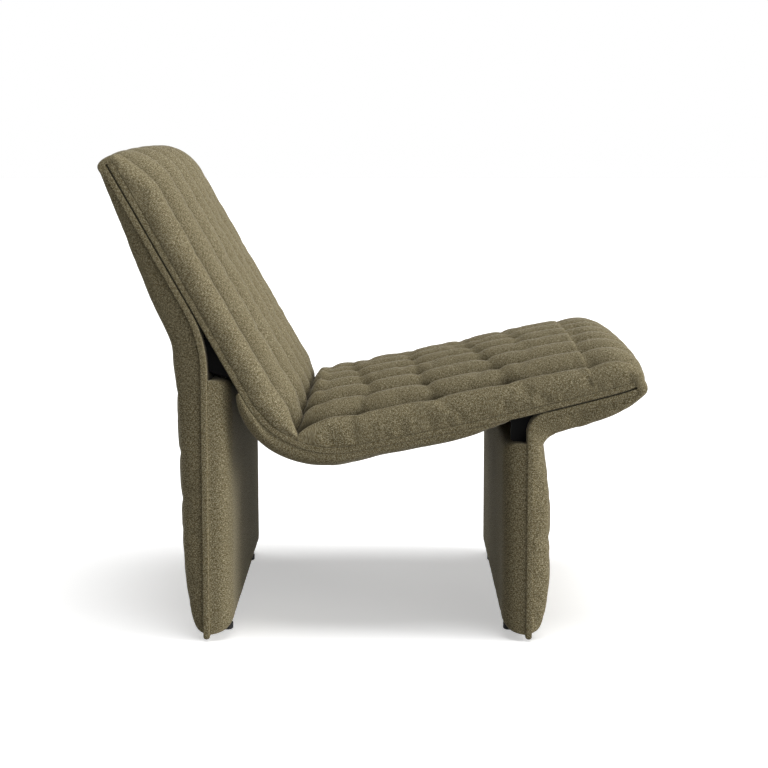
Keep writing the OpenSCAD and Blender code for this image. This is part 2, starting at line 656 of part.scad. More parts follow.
module seat_shell() {
    color(plywood) difference() {
        panel(shell, 0, shell_len);
        lap_holes(back_bolt_s);
        lap_holes(seat_bolt_s);
        bracket_holes([bracket_spots[1], bracket_spots[3]]);
    }
}
module shell_wrap() {
    color(fabric) difference() {
        across(chair_w) polygon(strip(shell, 0, shell_len, -face, face));
        panel(shell, -1, shell_len + 1);
        lap_holes(back_bolt_s);
        lap_holes(seat_bolt_s);
        bracket_holes([bracket_spots[1], bracket_spots[3]]);
    }
}
module rear_leg_panel() {
    color(plywood) difference() {
        panel(rear_leg, 0, rear_len - wrap_t);
        lap_holes(back_bolt_s);
        bracket_holes([bracket_spots[0]]);
        rail_screw_places(rear_x, 1) screw_hole(rail_screw_len);
    }
}
module rear_leg_wrap() {
    color(fabric) difference() {
        across(chair_w) polygon(strip(rear_leg, 0, rear_len, -face, face));
        panel(rear_leg, -1, rear_len - wrap_t);
        lap_holes(back_bolt_s);
        bracket_holes([bracket_spots[0]]);
        rail_screw_places(rear_x, 1) screw_hole(rail_screw_len);
    }
}
module front_leg_panel() {
    color(plywood) difference() {
        panel(front_leg, wrap_t, front_len);
        lap_holes(seat_bolt_s);
        bracket_holes([bracket_spots[2]]);
        rail_screw_places(front_x, -1) screw_hole(rail_screw_len);
    }
}
module front_leg_wrap() {
    color(fabric) difference() {
        across(chair_w) polygon(strip(front_leg, 0, front_len, -face, face));
        panel(front_leg, wrap_t, front_len + 1);
        lap_holes(seat_bolt_s);
        bracket_holes([bracket_spots[2]]);
        rail_screw_places(front_x, -1) screw_hole(rail_screw_len);
    }
}

module back_quilt() {
    color(fabric) sewn_form([for (r = back_rows) quilt_row(r)], quilt_keys,
        foam_rows(back_rows, back_foam_rows[0], back_foam_rows[1], quilt_t, soft_gap), back_foam_rows[0]);
}
module back_foam() {
    color(foam_colour)
        sewn_form(foam_rows(back_rows, back_foam_rows[0], back_foam_rows[1], quilt_t, 0), foam_keys);
}
module seat_quilt() {
    color(fabric) sewn_form([for (r = seat_rows) quilt_row(r)], quilt_keys,
        foam_rows(seat_rows, seat_foam_rows[0], seat_foam_rows[1], quilt_t, soft_gap), seat_foam_rows[0]);
}
module seat_foam() {
    color(foam_colour)
        sewn_form(foam_rows(seat_rows, seat_foam_rows[0], seat_foam_rows[1], quilt_t, 0), foam_keys);
}
module rear_outer_quilt() {
    color(fabric) sewn_form([for (r = rear_outer_rows) quilt_row(r)], quilt_keys,
        foam_rows(rear_outer_rows, rear_foam_rows[0], rear_foam_rows[1], quilt_t, soft_gap),
        rear_foam_rows[0]);
}
module rear_outer_foam() {
    color(foam_colour)
        sewn_form(foam_rows(rear_outer_rows, rear_foam_rows[0], rear_foam_rows[1], quilt_t, 0), foam_keys);
}
module front_outer_quilt() {
    color(fabric) sewn_form([for (r = front_outer_rows) quilt_row(r)], quilt_keys,
        foam_rows(front_outer_rows, front_foam_rows[0], front_foam_rows[1], quilt_t, soft_gap),
        front_foam_rows[0]);
}
module front_outer_foam() {
    color(foam_colour)
        sewn_form(foam_rows(front_outer_rows, front_foam_rows[0], front_foam_rows[1], quilt_t, 0), foam_keys);
}
module underside_cover() {
    color(fabric) sewn_form([for (r = under_rows) plain_row(r)], plain_keys,
        foam_rows(under_rows, under_foam_rows[0], under_foam_rows[1], cover_t, soft_gap), under_foam_rows[0]);
}
module underside_foam() {
    color(foam_colour)
        sewn_form(foam_rows(under_rows, under_foam_rows[0], under_foam_rows[1], cover_t, 0), foam_keys);
}
module inner_cover(rows, flip) {
    color(fabric) difference() {
        sewn_form([for (r = flip ? reversed(rows) : rows) plain_row(r)], plain_keys,
            foam_rows(flip ? reversed(rows) : rows, inner_first, inner_last, cover_t, soft_gap), inner_first);
        glide_screw_places(glide_xs) cylinder(d = screw_d + 2 * hole_play, h = glide_screw_len, $fn = 16);
    }
}
module rear_inner_cover() {
    inner_cover(rear_inner_rows, false);
}
module front_inner_cover() {
    inner_cover(front_inner_rows, true);
}

// A slab on the inner face of a leg: the foot rail below and the foam above
module inner_slab(x, sign, low, high) {
    translate([sign == 1 ? x + pad_base : x - pad_base - rail_depth, -foam_half, low])
        cube([rail_depth, 2 * foam_half, high - low]);
}
module rear_foot_rail() {
    color(timber) difference() {
        inner_slab(rear_x, 1, rail_low, rail_low + rail_h);
        rail_screw_places(rear_x, 1) screw_hole(rail_screw_len);
        glide_screw_places([glide_xs[0]]) screw_hole(glide_screw_len);
    }
}
module front_foot_rail() {
    color(timber) difference() {
        inner_slab(front_x, -1, rail_low, rail_low + rail_h);
        rail_screw_places(front_x, -1) screw_hole(rail_screw_len);
        glide_screw_places([glide_xs[1]]) screw_hole(glide_screw_len);
    }
}
module rear_inner_foam() {
    color(foam_colour)
        inner_slab(rear_x, 1, rail_low + rail_h + soft_gap, rear_pad_top - inner_top_hem - soft_gap);
}
module front_inner_foam() {
    color(foam_colour)
        inner_slab(front_x, -1, rail_low + rail_h + soft_gap, front_pad_top - inner_top_hem - soft_gap);
}
module rear_rail_screws() {
    color(steel) rail_screw_places(rear_x, 1) wood_screw(rail_screw_len);
}
module front_rail_screws() {
    color(steel) rail_screw_places(front_x, -1) wood_screw(rail_screw_len);
}

// Bracket: a plate on each panel's face and a web across the notch at the outer side
module bracket(plates, web, spots, side) {
    color(black) difference() {
        union() {
            translate([0, side * (bracket_y - bracket_w / 2), 0]) across(bracket_w) {
                polygon(plates[0]);
                polygon(plates[1]);
            }
            translate([0, side * (bracket_y - steel_t / 2), 0]) across(steel_t) polygon(web);
        }
        bracket_holes(spots);
        bracket_places(spots) cylinder(d = bolt_d + 2 * hole_play, h = steel_t + over_cut, $fn = 48);
    }
}
// Gap between a bracket's plates and the panels' fabric
plate_gap = 0.15;
// Distance below the rear knee's start at which its bracket's plates begin
rear_web_from = 54;
// Distance from a bracket's bolt to the end of its plate, and of its web's edge from a panel's face
plate_end = 12;
web_edge = 1;
rear_web_leg = [rear_lap + rear_web_from, rear_notch_s + plate_end];
rear_web_shell = [rear_lap + rear_web_from, shell_notch_s + plate_end];
rear_plates = [
    strip(rear_leg, rear_web_leg[0], rear_web_leg[1], face + plate_gap, face + steel_t),
    strip(shell, rear_web_shell[0], rear_web_shell[1], -face - steel_t, -face - plate_gap)];
function edge_line(track, from, to, d) =
    [for (k = [0:6]) beside(at(track, from + (to - from) * k / 6), d)];
rear_web = concat(
    edge_line(rear_leg, rear_web_leg[0], rear_web_leg[1], face + web_edge),
    reversed(edge_line(shell, rear_web_shell[0], rear_web_shell[1], -face - web_edge)));
front_web_over_knee = 26;
front_web_under_knee = 18;
front_web_leg = [front_pad_top + soft_gap - foot_gap, front_rise + front_web_over_knee];
front_web_shell = [seat_notch_s - plate_end, knee_s - front_web_under_knee];
front_plates = [
    strip(front_leg, front_web_leg[0], front_web_leg[1], face + plate_gap, face + steel_t),
    strip(shell, front_web_shell[0], front_web_shell[1], -face - steel_t, -face - plate_gap)];
// The front web hangs straight down from the shell at its rear edge and has a round corner there
front_web_back = 52;
front_web_corner = 6;
front_web_top = beside(at(shell, knee_s - front_web_back), -face - web_edge);
front_web_low = [front_web_top[0] + front_web_corner, foot_gap + front_web_leg[0] + front_web_corner];
front_web = concat(
    edge_line(front_leg, front_web_leg[0], front_web_leg[1], face + web_edge),
    reversed(edge_line(shell, knee_s - front_web_back, front_web_shell[1], -face - web_edge)),
    [for (k = [0:4]) front_web_low - front_web_corner * [cos(90 * k / 4), sin(90 * k / 4)]]);
rear_spots = [bracket_spots[0], bracket_spots[1]];
front_spots = [bracket_spots[2], bracket_spots[3]];
module rear_bracket_left() {
    bracket(rear_plates, rear_web, rear_spots, 1);
}
module rear_bracket_right() {
    bracket(rear_plates, rear_web, rear_spots, -1);
}
module front_bracket_left() {
    bracket(front_plates, front_web, front_spots, 1);
}
module front_bracket_right() {
    bracket(front_plates, front_web, front_spots, -1);
}
module bracket_bolts() {
    color(black) bracket_places(bracket_spots) translate([0, 0, steel_t]) rotate([180, 0, 0])
        flat_bolt(steel_t + wrapped_t - over_cut);
}
module bracket_tee_nuts() {
    color(steel) bracket_places(bracket_spots)
        translate([0, 0, -wrapped_t + flange_t]) rotate([180, 0, 0]) tee_nut();
}
module back_bolts() {
    color(steel) lap_bolts(back_bolt_s);
}
module back_tee_nuts() {
    color(steel) lap_nuts(back_bolt_s);
}
module seat_bolts() {
    color(steel) lap_bolts(seat_bolt_s);
}
module seat_tee_nuts() {
    color(steel) lap_nuts(seat_bolt_s);
}

module glides(x) {
    color(black) difference() {
        for (side = [-1, 1]) translate([x, side * glide_y, 0]) rotate_extrude($fn = 64)
            polygon([[0, 0], [glide_d / 2 - glide_edge, 0], [glide_d / 2, glide_edge],
                     [glide_d / 2, glide_h], [0, glide_h]]);
        glide_screw_places([x]) screw_hole(glide_screw_len);
        for (side = [-1, 1]) translate([x, side * glide_y, -over_cut])
            cylinder(d = screw_head_d + 2 * hole_play, h = glide_sink + over_cut, $fn = 48);
    }
}
module rear_glides() {
    glides(glide_xs[0]);
}
module front_glides() {
    glides(glide_xs[1]);
}
module glide_screws() {
    color(steel) glide_screw_places(glide_xs) wood_screw(glide_screw_len);
}

seat_shell();
shell_wrap();
back_foam();
back_quilt();
seat_foam();
seat_quilt();
underside_foam();
underside_cover();
rear_leg_panel();
rear_leg_wrap();
rear_outer_foam();
rear_outer_quilt();
rear_inner_foam();
rear_inner_cover();
front_leg_panel();
front_leg_wrap();
front_outer_foam();
front_outer_quilt();
front_inner_foam();
front_inner_cover();
rear_foot_rail();
front_foot_rail();
rear_rail_screws();
front_rail_screws();
rear_bracket_left();
rear_bracket_right();
front_bracket_left();
front_bracket_right();
bracket_bolts();
bracket_tee_nuts();
back_bolts();
back_tee_nuts();
seat_bolts();
seat_tee_nuts();
rear_glides();
front_glides();
glide_screws();
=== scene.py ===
"""Armless lounge chair: quilted ribbons, plain pads and wrapped panels in one woven fabric.

Lengths are in metres and X runs to the chair's front. The sizes repeat those of the part's
source, so every piece lies where its solid is.
"""

import logging
import math
from dataclasses import dataclass, replace
from enum import Enum

import bmesh
import bpy
import numpy as np
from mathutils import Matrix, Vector


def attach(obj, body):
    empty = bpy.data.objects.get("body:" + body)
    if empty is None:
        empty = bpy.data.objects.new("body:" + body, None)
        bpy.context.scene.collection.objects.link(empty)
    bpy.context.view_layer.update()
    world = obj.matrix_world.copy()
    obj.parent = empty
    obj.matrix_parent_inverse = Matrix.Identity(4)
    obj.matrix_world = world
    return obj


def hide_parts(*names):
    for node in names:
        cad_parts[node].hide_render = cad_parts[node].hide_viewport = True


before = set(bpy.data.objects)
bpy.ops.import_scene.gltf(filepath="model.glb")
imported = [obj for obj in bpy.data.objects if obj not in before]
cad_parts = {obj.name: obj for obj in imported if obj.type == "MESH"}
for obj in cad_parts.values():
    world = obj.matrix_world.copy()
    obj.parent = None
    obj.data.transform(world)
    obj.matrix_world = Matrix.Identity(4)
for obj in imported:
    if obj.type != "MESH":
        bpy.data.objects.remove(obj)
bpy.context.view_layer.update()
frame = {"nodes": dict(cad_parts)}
LOG = logging.getLogger("lounge_chair")
MERGE = 2e-5
SMOOTH_ANGLE = math.radians(50)
WHITE = (1.0, 1.0, 1.0, 1.0)


# ---------------------------------------------------------------- side view lines


@dataclass(frozen=True)
class Track:
    """Side view line of a panel, as straight and round stretches.

    A radius of 0 is straight, above 0 turns left and below 0 turns right.
    """

    start: tuple
    parts: tuple

    @property
    def length(self) -> float:
        """Length of the whole line."""
        return sum(part[0] for part in self.parts)

    def at(self, s: float) -> tuple:
        """Follows the line for a distance.

        Args:
            s: Distance from the line's start.

        Returns:
            Place and heading there: x, z and an angle in radians.
        """
        x, z, heading = self.start
        for i, (length, radius) in enumerate(self.parts):
            step = s if i == len(self.parts) - 1 else min(s, length)
            turn = step / radius if radius else 0.0
            chord = 2 * radius * math.sin(turn / 2) if radius else step
            x += chord * math.cos(heading + turn / 2)
            z += chord * math.sin(heading + turn / 2)
            heading += turn
            s -= step
            if s <= 0:
                break
        return x, z, heading

    def beside(self, s: float, d: float, ahead: float = 0.0) -> np.ndarray:
        """Finds a place to the left of the line.

        Args:
            s: Distance along the line.
            d: Distance to the left of it, negative to the right.
            ahead: Distance straight ahead of that place.

        Returns:
            The place as x and z.
        """
        x, z, a = self.at(s)
        return np.array([x - d * math.sin(a) + ahead * math.cos(a),
                         z + d * math.cos(a) + ahead * math.sin(a)])


@dataclass(frozen=True)
class Lines:
    """Sizes that the chair's pieces share, and the lines of its three panels."""

    width: float = 0.680
    panel_t: float = 0.008
    wrap_t: float = 0.001
    slit: float = 0.0006
    corner_back: float = 0.1444
    corner_up: float = 0.2836
    back_slope: float = math.radians(60.5)
    seat_slope: float = math.radians(10.3)
    bend_r: float = 0.150
    back_len: float = 0.526
    seat_rear_len: float = 0.303
    seat_front_len: float = 0.110
    seat_r: float = 5.300
    lip_len: float = 0.040
    lip_r: float = 0.320
    foot_gap: float = 0.005
    rear_knee_up: float = 0.276
    rear_knee_r: float = 0.200
    front_knee_r: float = 0.030
    pad_inset: float = 0.0020
    side_bulge: float = 0.0014
    side_band: float = 0.0404
    channels: int = 7
    soft_gap: float = 0.0003
    cap_reach: float = 0.069

    @property
    def face(self) -> float:
        """Distance from a panel's middle to the face of its fabric."""
        return self.panel_t / 2 + self.wrap_t

    @property
    def lap(self) -> float:
        """Distance between the middles of two panels that lie together."""
        return 2 * self.face + self.slit

    @property
    def pad_base(self) -> float:
        """Distance from a panel's middle to a pad's base."""
        return self.face + self.soft_gap

    @property
    def pad_half(self) -> float:
        """Half the width of a pad's base."""
        return self.width / 2 - self.pad_inset

    @property
    def pad_full(self) -> float:
        """Half the width of a pad at its fullest."""
        return self.pad_half + self.side_bulge

    @property
    def line_y(self) -> float:
        """Distance of the outer channel lines from the middle."""
        return self.pad_full - self.side_band

    @property
    def channel_w(self) -> float:
        """Distance between two channel lines."""
        return 2 * self.line_y / self.channels

    @property
    def straight_back(self) -> float:
        """Length of the back down to the bend."""
        return self.back_len - self.bend_r * math.tan((self.back_slope + self.seat_slope) / 2)

    @property
    def bend_len(self) -> float:
        """Length of the bend between back and seat."""
        return self.bend_r * (self.back_slope + self.seat_slope)

    @property
    def bend_end(self) -> float:
        """Distance along the shell to the end of its bend."""
        return self.straight_back + self.bend_len

    @property
    def knee_s(self) -> float:
        """Distance along the shell to the place above the front knee."""
        return self.bend_end + self.seat_rear_len

    @property
    def shell(self) -> Track:
        """Line of the seat shell.

        Returns:
            The line from the top of the back to the lip.
        """
        start = (-self.corner_back - self.back_len * math.cos(self.back_slope),
                 self.corner_up + self.back_len * math.sin(self.back_slope), -self.back_slope)
        return Track(start, ((self.straight_back, 0.0), (self.bend_len, self.bend_r),
                             (self.seat_rear_len + self.seat_front_len, self.seat_r),
                             (self.lip_len, self.lip_r)))

    @property
    def rear_leg(self) -> Track:
        """Line of the rear leg.

        Returns:
            The line from the top of the back to the floor.
        """
        x, z = self.shell.beside(0.0, -self.lap)
        lap_len = self.back_len - self.rear_knee_up
        knee_len = self.rear_knee_r * (math.pi / 2 - self.back_slope)
        start = (x, z, -self.back_slope)
        end = Track(start, ((lap_len, 0.0), (knee_len, -self.rear_knee_r))).at(lap_len + knee_len)
        return Track(start, ((lap_len, 0.0), (knee_len, -self.rear_knee_r), (end[1] - self.foot_gap, 0.0)))

    @property
    def front_leg(self) -> Track:
        """Line of the front leg.

        Returns:
            The line from the floor to the lip.
        """
        heading = self.shell.at(self.knee_s)[2]
        x, z = self.shell.beside(self.knee_s, -self.lap)
        r, wide = self.front_knee_r, self.lap
        rise = z - r * math.cos(heading) - self.foot_gap
        start = (x - r * (1 - math.sin(heading)), self.foot_gap, math.pi / 2)
        return Track(start, ((rise, 0.0), (r * (math.pi / 2 - heading), -r),
                             (self.seat_front_len * (self.seat_r + wide) / self.seat_r, self.seat_r + wide),
                             (self.lip_len * (self.lip_r + wide) / self.lip_r, self.lip_r + wide)))


LINES = Lines()


# ---------------------------------------------------------------- rows of a padded piece


@dataclass
class Row:
    """One row across a pad.

    base and crest are the places of its foot and its top on the middle line. shoulder is the
    share of the height that is left at the sides, left the share that a crease leaves there,
    and lid scales the whole row where a pad closes. tuck is the place of the foot at the
    sides, wide from 0 to 1 pushes the sides out over a panel's end, and turned rounds them.
    teeth deepens the channels, and hold keeps the row where it is while the stuffing swells.
    push moves the channel lines towards the chair's rear.
    """

    base: np.ndarray
    crest: np.ndarray
    shoulder: float = 1.0
    left: float = 1.0
    lid: float = 1.0
    tuck: np.ndarray = None
    wide: float = 0.0
    turned: float = 0.0
    teeth: float = 0.0
    hold: float = 0.0
    push: float = 0.0

    @property
    def foot(self) -> np.ndarray:
        """Place of the foot at the sides."""
        return self.base if self.tuck is None else self.tuck

    def numbers(self) -> list:
        """Lists all values, for spacing."""
        return [*self.base, *self.crest, *self.foot, self.shoulder, self.left, self.lid, self.wide,
                self.turned, self.teeth, self.hold, self.push]

    @staticmethod
    def of(n: np.ndarray) -> "Row":
        """Makes a row from such a list."""
        return Row(n[0:2], n[2:4], n[6], n[7], n[8], n[4:6], n[9], n[10], n[11], n[12], n[13])


def near_end(d: float, reach: float) -> float:
    """Share that is left near an end, over this reach."""
    return max(0.0, 1 - d / reach) ** 2


def ease(u: float) -> float:
    """Smooth step from 0 to 1."""
    u = min(max(u, 0.0), 1.0)
    return u * u * (3 - 2 * u)


def foot_share(d: float, reach: float) -> float:
    """Height of a quarter ellipse over this reach, as a share of its full height."""
    return math.sqrt(max(0.0, 1 - (1 - min(max(d, 0.0) / reach, 1.0)) ** 2))


def spaced(rows: list, pitch: float) -> list:
    """Spaces rows evenly along their crest.

    Args:
        rows: Closely spaced rows.
        pitch: Distance wanted between rows.

    Returns:
        New rows at that distance, with the first and the last row kept.
    """
    data = np.array([r.numbers() for r in rows])
    top = data[:, 0:2] + (data[:, 2:4] - data[:, 0:2]) * data[:, 8:9]
    run = np.concatenate([[0.0], np.cumsum(np.linalg.norm(np.diff(top, axis=0), axis=1))])
    want = np.linspace(0.0, run[-1], max(2, round(run[-1] / pitch) + 1))
    new = np.stack([np.interp(want, run, data[:, i]) for i in range(data.shape[1])], axis=1)
    return [Row.of(n) for n in new]


def closed_end(row: Row, steps: int, round_share: float) -> list:
    """Makes the rows of a pad's end wall.

    Args:
        row: The pad's row at that end.
        steps: Number of rows up the wall.
        round_share: Share of the height that the rounding of the wall's top takes.

    Returns:
        Rows from the wall's foot up, without the pad's own row.
    """
    top = row.lid * (1 - round_share)
    return [replace(row, lid=top * k / steps) for k in range(steps)]


@dataclass(frozen=True)
class Pinch:
    """A sewn tuft: its channel line, its distance along the pad and its strength."""

    line: int
    along: float
    strength: float = 1.0


# ---------------------------------------------------------------- mesh helpers


def clear_selection() -> None:
    """Leaves edit mode and deselects everything."""
    if bpy.context.object and bpy.context.object.mode != "OBJECT":
        bpy.ops.object.mode_set(mode="OBJECT")
    bpy.ops.object.select_all(action="DESELECT")


def pick(piece: bpy.types.Object) -> None:
    """Makes a piece the only selected and the active one.

    Args:
        piece: The piece.
    """
    clear_selection()
    piece.select_set(True)
    bpy.context.view_layer.objects.active = piece


def grid_piece(name: str, points: np.ndarray, uv: np.ndarray) -> bpy.types.Object:
    """Shapes a primitive grid.

    Args:
        name: The piece's name.
        points: Places as rows by columns by 3.
        uv: Map places as rows by columns by 2, in metres of cloth.

    Returns:
        The new piece, with its map.
    """
    rows, cols = points.shape[:2]
    clear_selection()
    bpy.ops.mesh.primitive_grid_add(x_subdivisions=cols - 1, y_subdivisions=rows - 1, size=2,
                                    calc_uvs=True)
    piece = bpy.context.object
    piece.name = name
    piece.data.name = name
    mesh = piece.data
    flat = np.zeros(len(mesh.vertices) * 3)
    mesh.vertices.foreach_get("co", flat)
    flat = flat.reshape(-1, 3)
    col = np.rint((flat[:, 0] + 1) / 2 * (cols - 1)).astype(int)
    row = np.rint((flat[:, 1] + 1) / 2 * (rows - 1)).astype(int)
    mesh.vertices.foreach_set("co", points[row, col].ravel())
    corner = np.zeros(len(mesh.loops), int)
    mesh.loops.foreach_get("vertex_index", corner)
    mesh.uv_layers[0].data.foreach_set("uv", uv[row[corner], col[corner]].ravel())
    for key, value in (("row", row), ("col", col)):
        mesh.attributes.new(key, "INT", "POINT").data.foreach_set("value", value.astype(np.int32))
    mesh.update()
    return piece


def close_base(piece: bpy.types.Object, rows: int, cols: int) -> None:
    """Closes a pad underneath, from one side edge to the other, and turns its faces outwards.

    Args:
        piece: The pad's skin, as grid_piece makes it.
        rows: Number of its rows.
        cols: Number of its columns.
    """
    work = bmesh.new()
    work.from_mesh(piece.data)
    row_key, col_key = work.verts.layers.int["row"], work.verts.layers.int["col"]
    place = {(v[row_key], v[col_key]): v for v in work.verts}
    first = min(i for i in range(rows) if (place[i, 0].co - place[0, 0].co).length > MERGE)
    last = max(i for i in range(rows) if (place[i, 0].co - place[rows - 1, 0].co).length > MERGE)
    for i in range(first, last):
        work.faces.new([place[i, 0], place[i, cols - 1], place[i + 1, cols - 1], place[i + 1, 0]])
    work.faces.new([place[0, j] for j in range(cols)] + [place[first, cols - 1], place[first, 0]])
    work.faces.new([place[rows - 1, j] for j in reversed(range(cols))]
                   + [place[last, 0], place[last, cols - 1]])
    bmesh.ops.remove_doubles(work, verts=work.verts, dist=MERGE)
    bmesh.ops.dissolve_degenerate(work, edges=work.edges, dist=MERGE / 4)
    bmesh.ops.triangulate(work, faces=[f for f in work.faces if len(f.verts) > 4])
    bmesh.ops.recalc_face_normals(work, faces=work.faces)
    if work.calc_volume(signed=True) < 0:
        bmesh.ops.reverse_faces(work, faces=work.faces)
    work.to_mesh(piece.data)
    work.free()


def grid_places(piece: bpy.types.Object) -> tuple:
    """Finds the row and the column of each of a piece's points.

    Args:
        piece: The piece, as grid_piece makes it.

    Returns:
        The rows and the columns.
    """
    both = []
    for key in ("row", "col"):
        values = np.zeros(len(piece.data.vertices), np.int32)
        piece.data.attributes[key].data.foreach_get("value", values)
        both.append(values)
    return tuple(both)


def shade_piece(piece: bpy.types.Object, shade: np.ndarray) -> None:
    """Stores how deep in a fold each point of a grid lies, for the fabric to paint shade there.

    Args:
        piece: The piece, as grid_piece makes it.
        shade: The depths by row and column.
    """
    fold_shade = piece.data.attributes.new("fold_shade", "FLOAT", "POINT")
    fold_shade.data.foreach_set("value", shade[grid_places(piece)].astype(np.float32))


def group_from(piece: bpy.types.Object, name: str, weights: np.ndarray) -> None:
    """Makes a vertex group.

    Args:
        piece: The piece that gets it.
        name: The group's name.
        weights: One weight for each of the piece's points.
    """
    group = piece.vertex_groups.new(name=name)
    for level in np.unique(np.round(weights, 2)):
        if level > 0:
            group.add(np.nonzero(np.round(weights, 2) == level)[0].tolist(), float(level), "REPLACE")


def apply_modifier(piece: bpy.types.Object, kind: str, settings: dict) -> None:
    """Adds a modifier to the active piece and applies it.

    Args:
        piece: The piece.
        kind: The modifier's type.
        settings: Its settings.
    """
    modifier = piece.modifiers.new(kind.title(), kind)
    for key, value in settings.items():
        setattr(modifier, key, value)
    bpy.ops.object.modifier_apply(modifier=modifier.name)


@dataclass(frozen=True)
class Filling:
    """How the stuffing swells a sewn skin, and how far a point may move."""

    pressure: float
    slack: float
    cap: float
    frames: int = 20
    stiffness: float = 15.0
    bending: float = 0.5
    mass: float = 0.3
    damping: float = 4.0
    pin: float = 50.0
    quality: int = 4

    def swell(self, piece: bpy.types.Object, held: np.ndarray) -> None:
        """Runs a cloth simulation on the piece and applies its result.

        Args:
            piece: The pad, closed and shaped.
            held: For each point, 1 where a seam holds it and 0 where it is free.
        """
        start = np.zeros(len(piece.data.vertices) * 3)
        piece.data.vertices.foreach_get("co", start)
        group_from(piece, "held", held)
        pick(piece)
        cloth = piece.modifiers.new("Filling", "CLOTH")
        rules = cloth.settings
        rules.quality = self.quality
        rules.mass = self.mass
        rules.tension_stiffness = self.stiffness
        rules.compression_stiffness = self.stiffness
        rules.shear_stiffness = self.stiffness / 3
        rules.bending_stiffness = self.bending
        rules.air_damping = self.damping
        rules.use_pressure = True
        rules.uniform_pressure_force = self.pressure
        rules.shrink_min = -self.slack
        rules.vertex_group_mass = "held"
        rules.pin_stiffness = self.pin
        rules.effector_weights.gravity = 0.0
        cloth.collision_settings.use_collision = False
        scene = bpy.context.scene
        cloth.point_cache.frame_start = 1
        cloth.point_cache.frame_end = self.frames
        for now in range(1, self.frames + 1):
            scene.frame_set(now)
        shown = piece.evaluated_get(bpy.context.evaluated_depsgraph_get()).data
        end = np.zeros(len(start))
        shown.vertices.foreach_get("co", end)
        piece.modifiers.remove(cloth)
        scene.frame_set(1)
        move = (end - start).reshape(-1, 3)
        far = np.linalg.norm(move, axis=1, keepdims=True)
        move *= self.cap * np.tanh(far / self.cap) / np.maximum(far, 1e-9)
        piece.data.vertices.foreach_set("co", (start.reshape(-1, 3) + move).ravel())
        piece.data.update()
        piece.vertex_groups.clear()


def finish_piece(piece: bpy.types.Object, nodes: tuple, cloth: bpy.types.Material, levels: int = 0,
                 fill: float = -1.0) -> None:
    """Args:
        piece: The piece.
        nodes: The CAD nodes that it stands for.
        cloth: The fabric's material.
        levels: Levels of subdivision.
        fill: How tight its stuffing is from 0 to 1, or below 0 for a piece with none; not used.
    """
    piece.data.materials.clear()
    piece.data.materials.append(cloth)
    pick(piece)
    if levels:
        apply_modifier(piece, "SUBSURF", {"levels": levels, "render_levels": levels})
    bpy.ops.object.shade_smooth_by_angle(angle=SMOOTH_ANGLE)
    for key in ("row", "col"):
        piece.data.attributes.remove(piece.data.attributes[key])
    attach(piece, "root")
    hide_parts(*nodes)
    fill >= 0
    LOG.info("%s: %d points", piece.name, len(piece.data.vertices))


# ---------------------------------------------------------------- padded pieces


